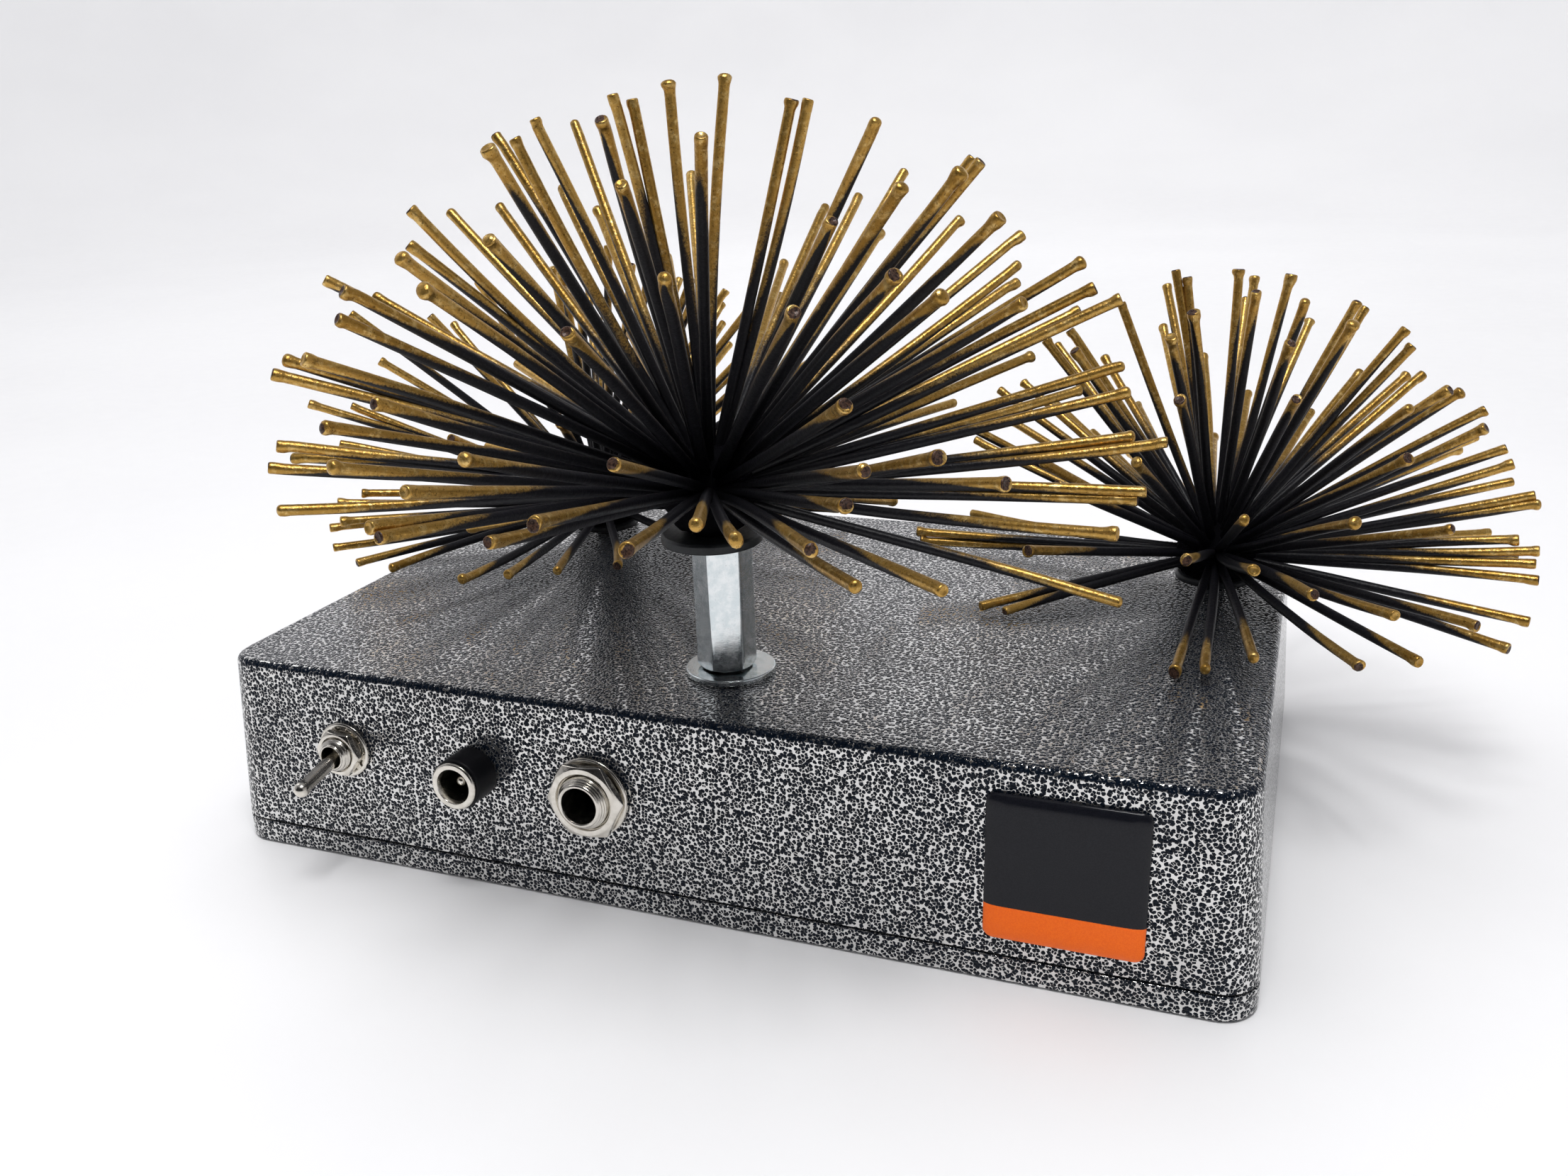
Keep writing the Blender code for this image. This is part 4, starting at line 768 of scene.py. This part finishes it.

# ------------------------------------------------------------------------------ toggle switch
# washer: a flat ring with an inner step
stand_in(turned("toggle_washer_look", [(3.4, 0.72), (4.1, 0.72), (4.3, 0.9), (4.95, 0.9),
                                       (5.24, 0.70), (5.24, GAP), (3.4, GAP)],
                NICKEL, TOGGLE, 96, True, 0.11), "instrument", "nickel", "toggle_washer")
stand_in(hex_nut("toggle_nut_look", 8.0, 1.2, 3.0, 3.12, NICKEL, TOGGLE, math.radians(-5), 0.3,
                 0.965, 0.3), "instrument", "nickel", "toggle_nut")
# a toothed ring between the two
bm = bmesh.new()
teeth = []
for i in range(96):
    a = math.tau * i / 96
    r = 4.62 if (i // 4) % 2 else 4.02
    teeth.append([bm.verts.new((q * math.cos(a), q * math.sin(a), z))
                  for q, z in ((3.2, 0.93), (r, 0.93), (r, 1.17), (3.2, 1.17))])
for i in range(96):
    a, b = teeth[i], teeth[(i + 1) % 96]
    for k in range(4):
        m = (k + 1) % 4
        bm.faces.new((a[k], b[k], b[m], a[m]))
star = finish_mesh("toggle_tooth_ring_look", bm, NICKEL, TOGGLE, 30.0)
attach(star, "instrument")
prof = rounded([(1.98, -0.6), (1.98, 3.6), (2.06, 4.42), (2.14, 4.5), (2.26, 4.5), (2.36, 4.38),
                (2.42, 4.2), (2.72, 3.98)], 0.07, 3) \
    + [Vector(p) for p in dense(3.05, 3.8, -2.5, 0.105)] \
    + [Vector((3.05, -2.68)), Vector((2.5, -2.69))]
bushing = finish_mesh("toggle_bushing_look",
                      lathe(prof, 72, True, thread(3.05, 0.26, 0.635, -2.3, 4.2)), NICKEL,
                      TOGGLE, 40.0)
bm = bmesh.new()
add_box(bm, (-4.0, -6.6, -3.6), (4.0, 6.6, -2.7))
plate = solid("raw_plate", bm, TOGGLE)
bm = bmesh.new()
add_rod(bm, (0, 0, -6), (0, 0, 0), 2.5, 40)
plate = carve(plate, [(solid("cut_plate", bm, TOGGLE), "DIFFERENCE")], "toggle_top_plate_look",
              NICKEL)
for ob in (bushing, plate):
    stand_in(ob, "instrument", "nickel", "toggle_bushing")
PIVOT = TOGGLE @ Matrix.Translation((0, 0, LEVER_PIVOT * MM)) @ Matrix.Rotation(TOGGLE_THROW, 4, "X")
prof = [(0, 12.7), (0.36, 12.66), (0.71, 12.51), (1.02, 12.26), (1.26, 11.92), (1.39, 11.52),
        (1.42, 11.2), (1.38, 10.9), (1.29, 10.6), (1.22, 10.3), (1.21, 9.6), (1.26, 7.0),
        (1.29, 4.6), (1.20, 3.0), (1.08, 1.9), (1.1, 1.3), (1.32, 0.95), (1.52, 0.5), (1.6, 0), (1.52, -0.5),
        (1.32, -0.95), (0.85, -1.3), (0.6, -1.6), (0.55, -2.2), (0.54, -7.6), (0.4, -7.95),
        (0, -8.08)]
lever = turned("toggle_lever_look", prof, NICKEL, PIVOT, 48, False, 0)
stand_in(lever, "lever", "nickel", "toggle_lever")

# ------------------------------------------------------------------------------- power socket
prof = [(4.28, 6.1), (4.6, 5.78), (4.6, GAP), (3.85, GAP), (3.85, -8.2), (3.4, -8.6), (1.25, -8.6),
        (1.25, -5.6), (2.9, -5.6), (2.9, 1.0), (3.75, 1.0), (3.75, 6.1)]
stand_in(turned("power_socket_body_look", prof, BLACK_PLASTIC, POWER, 96, True, 0.1), "instrument",
         "black_plastic", "power_socket_body")
prof = [(2.9, 6.15), (3.22, 6.95), (4.02, 6.95), (4.3, 6.68), (4.3, 6.4), (3.42, 6.4), (3.42, 1.3),
        (2.9, 1.3)]
stand_in(turned("power_socket_ring_look", prof, NICKEL, POWER, 96, True, 0.09), "instrument",
         "nickel", "power_socket_ring")
prof = [(0, 4.9), (0.32, 4.86), (0.62, 4.7), (0.84, 4.45), (0.94, 4.1), (0.95, 3.8), (0.95, -11.4),
        (0.8, -11.6), (0, -11.6)]
stand_in(turned("power_socket_pin_look", prof, NICKEL, POWER, 40, False, 0.06), "instrument",
         "nickel", "power_socket_pin")

# -------------------------------------------------------------------------------- output jack
stand_in(turned("output_jack_washer_look", [(5.1, 1.05), (6.95, 1.05), (7.2, 0.85), (7.2, GAP),
                                            (5.1, GAP)], NICKEL, JACK, 96, True, 0.13),
         "instrument", "nickel", "output_jack_washer")
stand_in(hex_nut("output_jack_nut_look", 12.7, 1.35, 3.15, 4.78, NICKEL, JACK, math.radians(3),
                 0.35, 0.955, 0.5), "instrument", "nickel", "output_jack_nut")
prof = rounded([(3.2, 4.25), (3.30, 4.62), (3.44, 4.7), (3.66, 4.7), (3.84, 4.62), (3.92, 4.5)], 0.07, 3)
prof += [Vector((3.94 + 0.76 * k / 34, 4.47 - 1.15 * (k / 34) ** 1.25)) for k in range(35)]
prof += [Vector(p) for p in dense(4.7, 3.25, -2.4, 0.08)] \
    + rounded([(4.7, -2.7), (6.6, -2.7), (6.6, -3.7), (3.2, -3.7)], 0.1, 2)


def jack_thread(r, z, a):
    """Fine thread on the barrel and on its taper."""
    if r < 3.93 or z < -2.0 or z > 4.46:
        return r
    v = abs(2 * ((z / 0.40 - a / math.tau) % 1.0) - 1)
    return r - 0.13 * v * min(1.0, (z + 2.0) / 0.4, (4.46 - z) / 0.08)


finish = finish_mesh("output_jack_bushing_look", lathe(prof, 96, True, jack_thread), NICKEL, JACK,
                     50.0)
stand_in(finish, "instrument", "nickel", "output_jack_bushing")


# ---------------------------------------------------------------------------------- the badge
def square_ring(half, r, n=8):
    pts = []
    r = max(r, 0.02)
    for k, (sx, sy) in enumerate(((1, 1), (-1, 1), (-1, -1), (1, -1))):
        for i in range(n + 1):
            a = math.pi / 2 * (k + i / n)
            pts.append((sx * (half - r) + r * math.cos(a), sy * (half - r) + r * math.sin(a)))
    return pts


bm = bmesh.new()
half, base, top = BADGE_SIDE / 2, GAP, GAP + BADGE_T
rows = []
for d, z in ((0.25, base), (0.02, base + 0.05), (0.0, base + 0.25)):
    rows.append([bm.verts.new((x, y, z)) for x, y in square_ring(half - d, 1.6 - d)])
for d in (0.02, 0.08, 0.18, 0.33, 0.55, 0.85, 1.2, 1.6, 2.1, 2.7, 3.4, 4.4, 6.0, 8.5, 11.0):
    t = min(d / 3.2, 1.0)
    z = base + 0.25 + (BADGE_T - 0.25) * (0.90 * math.sqrt(1 - (1 - t) ** 2.3) + 0.10 * min(d / 11, 1))
    rows.append([bm.verts.new((x, y, z)) for x, y in square_ring(half - d, 1.6 + 0.18 * d if d < 6 else 0.8)])
count = len(rows[0])
for a, b in zip(rows, rows[1:]):
    for i in range(count):
        j = (i + 1) % count
        bm.faces.new((a[i], a[j], b[j], b[i]))
bm.faces.new(rows[-1])
bm.faces.new(rows[0])
stand_in(finish_mesh("front_badge_look", bm, BADGE, on_front(BADGE_X, BADGE_Z), 60.0, True),
         "instrument", "domed_badge", "front_badge")

# -------------------------------------------------------------------------- post and its foot
POST = upright_at(POST_X, POST_Y)
stand_in(turned("post_washer_look", [(3.3, 38.9), (7.72, 38.9), (7.9, 38.72), (7.9, 37.98),
                                     (7.74, 37.8), (3.3, 37.8)], ZINC,
                upright_at(WASHER_X, WASHER_Y), 120, True, 0.12),
         "instrument", "zinc", "post_washer")
stand_in(hex_nut("post_coupling_nut_look", POST_NUT_AF, *POST_NUT_Z, BOLT_HOLE_R, ZINC, POST,
                 POST_YAW + math.radians(30), 0.62, 0.985, 0.4), "instrument", "zinc",
         "post_coupling_nut")
stand_in(turned("post_cluster_plate_look",
                [(0, 63.4), (8.3, 63.4), (PLATE_R, 63.05), (PLATE_R, 61.85), (8.45, 61.6),
                 (0, 61.6)], BLACK_METAL, upright_at(HUB_1.x, HUB_1.y), 96, False, 0.15),
         "instrument", "black_metal", "post_cluster_plate")
stand_in(turned("post_cluster_stud_look", [(0, 62.4), (BOLT_R, 62.4), (BOLT_R, 50.8), (2.1, 50.5),
                                           (0, 50.5)], BLACK_METAL, POST, 48, False, 0.1),
         "instrument", "black_metal", "post_cluster_plate")
for side, hub in (("rear", HUB_2), ("left", HUB_3)):
    stand_in(turned(side + "_cluster_plate_look", [(2.7, 39.0), (7.2, 39.0), (7.6, 38.6),
                                                   (7.6, 37.8), (2.7, 37.8)], BLACK_METAL,
                    upright_at(hub.x, hub.y), 96, True, 0.15), "instrument", "black_metal",
             side + "_cluster_plate")


# ------------------------------------------------------------------------------- rod clusters
def sight(u, v):
    """Unit direction from the eye point through (u, v) on its picture plane."""
    return (EYE_RIGHT * ((u - EYE_U) / FOCAL) - EYE_UP * ((v - EYE_V) / FOCAL) - EYE_BACK).normalized()


def tip_at(u, v, side, hub, reach):
    """The tip on the sight line: reach away from the hub, on the near or the far side of it."""
    d = sight(u, v)
    to_hub = hub - EYE
    mid = d.dot(to_hub)
    off2 = to_hub.length_squared - mid * mid
    half = math.sqrt(max(reach * reach - off2, 0.0)) if side else 0.0
    t = mid - side * half
    tip = EYE + d * t
    if tip.z < ROD_FLOOR:                     # a low rod stops just above the box's top
        tip = EYE + d * ((ROD_FLOOR - EYE.z) / d.z)
    return tip


def segment_gap(p1, q1, p2, q2):
    """Shortest distance between two straight segments."""
    d1, d2, r = q1 - p1, q2 - p2, p1 - p2
    a, e, f = d1.dot(d1), d2.dot(d2), d2.dot(r)
    b, c = d1.dot(d2), d1.dot(r)
    den = a * e - b * b
    s = min(max((b * f - c * e) / den, 0.0), 1.0) if den > 1e-9 else 0.0
    t = (b * s + f) / e
    if t < 0.0:
        t, s = 0.0, min(max(-c / a, 0.0), 1.0)
    elif t > 1.0:
        t, s = 1.0, min(max((b - c) / a, 0.0), 1.0)
    return ((p1 + d1 * s) - (p2 + d2 * t)).length


def settle(tip, hub, others, need):
    """Slides a tip along its sight line until its rod passes every other cluster's rod."""
    d = (tip - EYE).normalized()
    for step in range(0, 61):
        for sign in ((1,) if step == 0 else (1, -1)):
            q = tip + d * (0.5 * step * sign)
            if q.z < ROD_FLOOR:
                continue
            if all(segment_gap(hub, q, a, b) > need for a, b in others):
                return q
    return None


def fill_directions(count, have, axis, spread, apart, lowest):
    """Evenly spread directions about axis that keep clear of the ones that are there already."""
    golden = math.pi * (3 - math.sqrt(5))
    out = []
    for i in range(count):
        z = 1 - 2 * (i + 0.5) / count
        r = math.sqrt(1 - z * z)
        d = Vector((r * math.cos(golden * i), r * math.sin(golden * i), z))
        if d.z < lowest or d.angle(axis) > spread:
            continue
        if all(d.angle(h) > apart for h in have + out):
            out.append(d)
    return out


def cluster(hub, tips, reach, others, axis, spread, lowest=-0.28):
    """All rods of one cluster as (hub, tip) pairs."""
    need = 2 * ROD_R + 0.4
    out = []
    for u, v, side in tips:
        tip = settle(tip_at(u, v, side, hub, reach), hub, others, need)
        if tip is not None:
            out.append(tip)
    have = [(t - hub).normalized() for t in out]
    for d in fill_directions(190, have, axis.normalized(), math.radians(spread), math.radians(10.5),
                             lowest):
        tip = hub + d * reach * (0.97 + 0.03 * math.sin(9 * d.x + 5 * d.y))
        if tip.z < ROD_FLOOR:
            continue
        if all(segment_gap(hub, tip, a, b) > need for a, b in others):
            out.append(tip)
    return [(hub, t) for t in out]


GOLD_SIDE = Vector((-0.15, 0.70, 0.70)).normalized()      # rods turned this way get more gold: partly the spray's direction, partly painted shade on rods turned down and towards the front


def burst(name, hub, spokes, ball, floor_z, gold, seed, mat):
    """Every rod of a cluster as a bowed, round bar with its own softly swollen end, on a
    lumpy weld ball that is flat underneath."""
    rng = random.Random(seed)
    sides = 14
    verts, faces, back, sort, reach_of, bare = [], [], [], [], [], []

    def note(co, from_tip, kind, gold_len, is_bare):
        verts.append(co * MM)
        back.append(from_tip)
        sort.append(kind)
        reach_of.append(gold_len)
        bare.append(is_bare)
        return len(verts) - 1

    for h, t in spokes:
        d = (t - h).normalized()
        total = (t - h).length + 0.62
        u = d.orthogonal().normalized()
        v = d.cross(u)
        turn = rng.uniform(0, math.tau)
        bow = (u * math.cos(turn) + v * math.sin(turn)) * rng.choice((0.1, 0.25, 0.4, 0.6, 0.9)) \
            * total / 69
        twist = (u * math.cos(turn + 1.9) + v * math.sin(turn + 1.9)) * rng.uniform(-0.22, 0.22)
        kind = rng.random()
        # Gold reaches further on rods turned up and back and on each rod's upper side, and less far
        # underneath: partly the spray's direction, partly painted shade.
        gold_len = gold * (1.0 + 0.52 * d.dot(GOLD_SIDE)) * rng.uniform(0.68, 1.26)
        spray_and_lit_side = Vector((rng.uniform(-0.40, 0.40), rng.uniform(-0.40, 0.40), 1.0)).normalized()
        one_sided = rng.uniform(0.62, 0.97) + 0.15 * max(0.0, -d.z)
        swell = 1.0 + rng.choice((0.02, 0.06, 0.10, 0.15, 0.21, 0.30)) * rng.uniform(0.75, 1.1)
        sag = rng.choice((0.0, 0.0, 0.06, 0.14, 0.26))       # how far paint hangs from the end
        drop = rng.uniform(1.1, 2.2)          # length of the swollen end
        blunt = rng.random() < 0.66           # cut square and a little hollow, or rounded
        spot = rng.uniform(0, math.tau)
        lean = (u * math.cos(turn * 3) + v * math.sin(turn * 3)) * rng.uniform(0.0, 0.20)
        dark_end = rng.random() < (0.72 if blunt else 0.25)
        under = math.atan2(-v.z, -u.z) + rng.uniform(-0.7, 0.7)
        root = ball * 0.70
        rings = []
        shaft = total - 2.6 * drop / 1.7 - 0.5
        stations = [root + (shaft - root) * k / 9 for k in range(10)]
        for s in stations:
            rings.append((total - s, 1.0, 0.0))
        cap = [(2.6, 0.0), (2.0, 0.12), (1.6, 0.42), (1.25, 0.78), (0.95, 0.97), (0.68, 1.0)]
        for e, k in cap:
            rings.append((e * drop / 1.7, 1 + (swell - 1) * k, k))
        if blunt:
            end = [(0.30, 0.99), (0.14, 0.94), (0.04, 0.83), (0.0, 0.70), (0.05, 0.56),
                   (0.13, 0.34)]
        else:
            end = [(0.46, 0.95), (0.27, 0.82), (0.12, 0.60), (0.03, 0.34)]
        for e, k in end:
            rings.append((e, swell * k, 1.0))
        wob = [rng.uniform(-1, 1) for _ in range(6)]
        last = None
        for e, scale, near in rings:
            s = total - e
            x = (s - root) / (total - root)
            centre = h + d * s + bow * (4 * x * (1 - x)) + twist * math.sin(math.tau * x) + lean * near
            row = []
            for i in range(sides):
                a = math.tau * i / sides
                r = ROUND_R * scale
                r *= 1 + near * 0.05 * (wob[0] * math.cos(a) + wob[1] * math.sin(2 * a)
                                        + wob[2] * math.cos(2 * a)) \
                    + 0.012 * math.sin(5.0 * s + wob[3] * 9 + a)
                r *= 1 + near * sag * max(0.0, math.cos(a - under)) ** 2
                out = u * math.cos(a) + v * math.sin(a)
                here = gold_len * (1.0 + one_sided * out.dot(spray_and_lit_side) / max(
                    (spray_and_lit_side - d * spray_and_lit_side.dot(d)).length, 0.45))
                worn = scale / swell + 0.34 * math.cos(a - spot) < 0.80 and e < 0.29
                row.append(note(centre + out * r, e, kind, here,
                                1.0 if dark_end and worn else 0.0))
            if last:
                for i in range(sides):
                    j = (i + 1) % sides
                    faces.append((last[i], last[j], row[j], row[i]))
            last = row
        tip = note(h + d * (total - (0.17 if blunt else 0.0)) + lean, 0.0, kind, gold_len,
                   1.0 if dark_end else 0.0)
        for i in range(sides):
            faces.append((last[i], last[(i + 1) % sides], tip))

    # weld ball
    bm = bmesh.new()
    bmesh.ops.create_icosphere(bm, subdivisions=5, radius=ball * 1.0)
    for w in bm.verts:
        n = w.co.normalized()
        lump = noise.fractal(n * 3.1 + Vector((seed, 0, 0)), 1.0, 2.0, 4) * 0.55 \
            + abs(noise.noise(n * 7.0)) * 0.5
        w.co = n * (ball * 0.955 + lump * 0.7)
        if w.co.z + hub.z < floor_z:
            w.co.z = floor_z - hub.z
        w.co += hub
    offset = len(verts)
    for w in bm.verts:
        note(w.co, 90.0, 0.5, gold, 0.0)
    for f in bm.faces:
        faces.append(tuple(offset + w.index for w in f.verts))
    bm.free()

    me = bpy.data.meshes.new(name)
    me.from_pydata(verts, [], faces)
    me.materials.append(mat)
    for label, values in (("from_tip", back), ("rod_sort", sort), ("gold_reach", reach_of),
                          ("bare", bare)):
        attr = me.attributes.new(label, "FLOAT", "POINT")
        attr.data.foreach_set("value", values)
    me.shade_smooth()
    ob = bpy.data.objects.new(name, me)
    LOOK.objects.link(ob)
    return ob


SPOKES_1 = cluster(HUB_1, TIPS_1, REACH_1, [], HUB_1 - EYE, 52)
SPOKES_2 = cluster(HUB_2, TIPS_2, REACH_2, SPOKES_1, HUB_2 - EYE, 70)
SPOKES_3 = cluster(HUB_3, TIPS_3, REACH_3, SPOKES_1 + SPOKES_2, Vector((0.80, 0.25, 0.45)), 76, -0.05)
stand_in(burst("front_rod_cluster_look", HUB_1, SPOKES_1, BALL_1, 63.7, 14.0, 11, RODS),
         "instrument", "rod_black_and_gold", "front_rod_cluster")
stand_in(burst("rear_rod_cluster_look", HUB_2, SPOKES_2, BALL_2, 39.3, 11.5, 23, RODS),
         "instrument", "rod_black_and_gold", "rear_rod_cluster")
stand_in(burst("left_rod_cluster_look", HUB_3, SPOKES_3, BALL_3, 39.3, 11.5, 37, RODS),
         "instrument", "rod_black_and_gold", "left_rod_cluster")

# ------------------------------------------------------------- pieces that keep their CAD shape
KEPT = [
    (STEEL, ("post_bolt", "rear_bolt", "left_bolt")),
    (NICKEL, ("power_socket_nut",)),
    (TIN, ("toggle_rocker", "toggle_terminal_1", "toggle_terminal_2", "toggle_terminal_3",
           "power_socket_lug", "output_jack_tip_spring", "output_jack_sleeve_lug")),
    (RED_PLASTIC, ("toggle_case",)),
    (BLACK_PLASTIC, ("output_jack_case", "board_spacer_1", "board_spacer_2", "board_spacer_3",
                     "board_spacer_4")),
    (BOARD, ("preamp_board",)),
    (CHIP, ("preamp_chip",)),
    (CAPACITOR, ("preamp_capacitor_1", "preamp_capacitor_2", "preamp_trimmer")),
    (BRASS, ("pickup_disc_1", "pickup_disc_2")),
    (CERAMIC, ("pickup_ceramic_1", "pickup_ceramic_2")),
    (WIRE_RED, ("wire_power_in", "wire_power_out")),
    (WIRE_BLACK, ("wire_ground",)),
    (WIRE_GREY, ("wire_pickup_1", "wire_pickup_2", "wire_output")),
]
for mat, names in KEPT:
    for n in names:
        for s in CAD[n].material_slots:
            s.material = mat

# -------------------------------------------------------------------------------- studio
bm = bmesh.new()
rings, steps_round = [], 96
section = [(0.0, 0.0), (0.3, 0.0), (0.8, 0.0), (1.3, 0.0)]
for i in range(1, 13):
    a = math.pi / 2 * i / 12
    section.append((1.3 + 0.9 * math.sin(a), 0.9 - 0.9 * math.cos(a)))
section.append((2.2, 1.5))
for r, z in section:
    if r == 0.0:
        rings.append([bm.verts.new((0, 0, z - 0.00005))])
    else:
        rings.append([bm.verts.new((r * math.cos(math.tau * i / steps_round),
                                    r * math.sin(math.tau * i / steps_round), z - 0.00005))
                      for i in range(steps_round)])
for a, b in zip(rings, rings[1:]):
    for i in range(steps_round):
        j = (i + 1) % steps_round
        if len(a) == 1:
            bm.faces.new((a[0], b[i], b[j]))
        else:
            bm.faces.new((a[i], b[i], b[j], a[j]))
for f in bm.faces:
    f.smooth = True
bmesh.ops.recalc_face_normals(bm, faces=bm.faces)
bmesh.ops.reverse_faces(bm, faces=bm.faces)
me = bpy.data.meshes.new("floor")
bm.to_mesh(me)
bm.free()
floor = bpy.data.objects.new("floor", me)
me.materials.append(floor_white())
scene.collection.objects.link(floor)
floor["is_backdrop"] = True

flag_mesh = bpy.data.meshes.new("dark_panel")
flag_mesh.from_pydata([(-1.5, -1.15, 0.06), (1.7, -1.15, 0.06), (1.7, -1.15, 1.60),
                       (-1.5, -1.15, 1.60)], [], [(0, 1, 2, 3)])
dark = moulded("dark_panel", (0.010, 0.010, 0.012), (0.018, 0.018, 0.020), 0.8, 0.05, 0.01, 0.2)
flag_mesh.materials.append(dark)
flag = bpy.data.objects.new("dark_panel", flag_mesh)
scene.collection.objects.link(flag)
flag.visible_camera = False
flag.visible_shadow = False
flag.visible_diffuse = False
flag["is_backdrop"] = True

world = bpy.data.worlds.new("studio")
scene.world = world
world.use_nodes = True
back = world.node_tree.nodes["Background"]
back.inputs["Color"].default_value = (0.93, 0.94, 1.0, 1.0)
back.inputs["Strength"].default_value = 0.24


def soft_light(name, at, aim, size, power, colour=(1.0, 1.0, 1.0)):
    data = bpy.data.lights.new(name, "AREA")
    data.shape, data.size, data.size_y = "RECTANGLE", size[0], size[1]
    data.energy, data.color = power, colour
    ob = bpy.data.objects.new(name, data)
    scene.collection.objects.link(ob)
    ob.location = at
    ob.rotation_euler = (Vector(aim) - Vector(at)).to_track_quat("-Z", "Y").to_euler()
    ob.visible_camera = False
    return ob


wide = soft_light("overhead", (-0.20, 0.20, 1.25), (0, 0, 0), (1.8, 1.6), 12.7)
wide.visible_glossy = False
wash = soft_light("backdrop_wash", (-0.45, 0.75, 1.35), (-0.85, 2.0, 0.55), (2.4, 0.6), 13.0)
wash.visible_glossy = False
wash_right = soft_light("backdrop_wash_right", (0.45, 0.75, 1.35), (0.85, 2.0, 0.05), (1.6, 0.5), 3.2)
wash_right.visible_glossy = False
fill = soft_light("front_fill", (0.55, -1.05, 0.85), (0, 0, 0.03), (0.6, 0.5), 1.45)
fill.visible_glossy = False
soft_light("key", (0.10, -0.22, 0.66), (0, 0, 0.06), (0.20, 0.14), 2.2)
soft_light("window_left", (-0.95, 0.10, 0.85), (0, 0, 0.05), (0.35, 0.45), 0.75)

size = {"cad_low": list(CAD_BOX[0]), "cad_high": list(CAD_BOX[1])}
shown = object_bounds()
size["visual_low"], size["visual_high"] = list(shown[0]), list(shown[1])
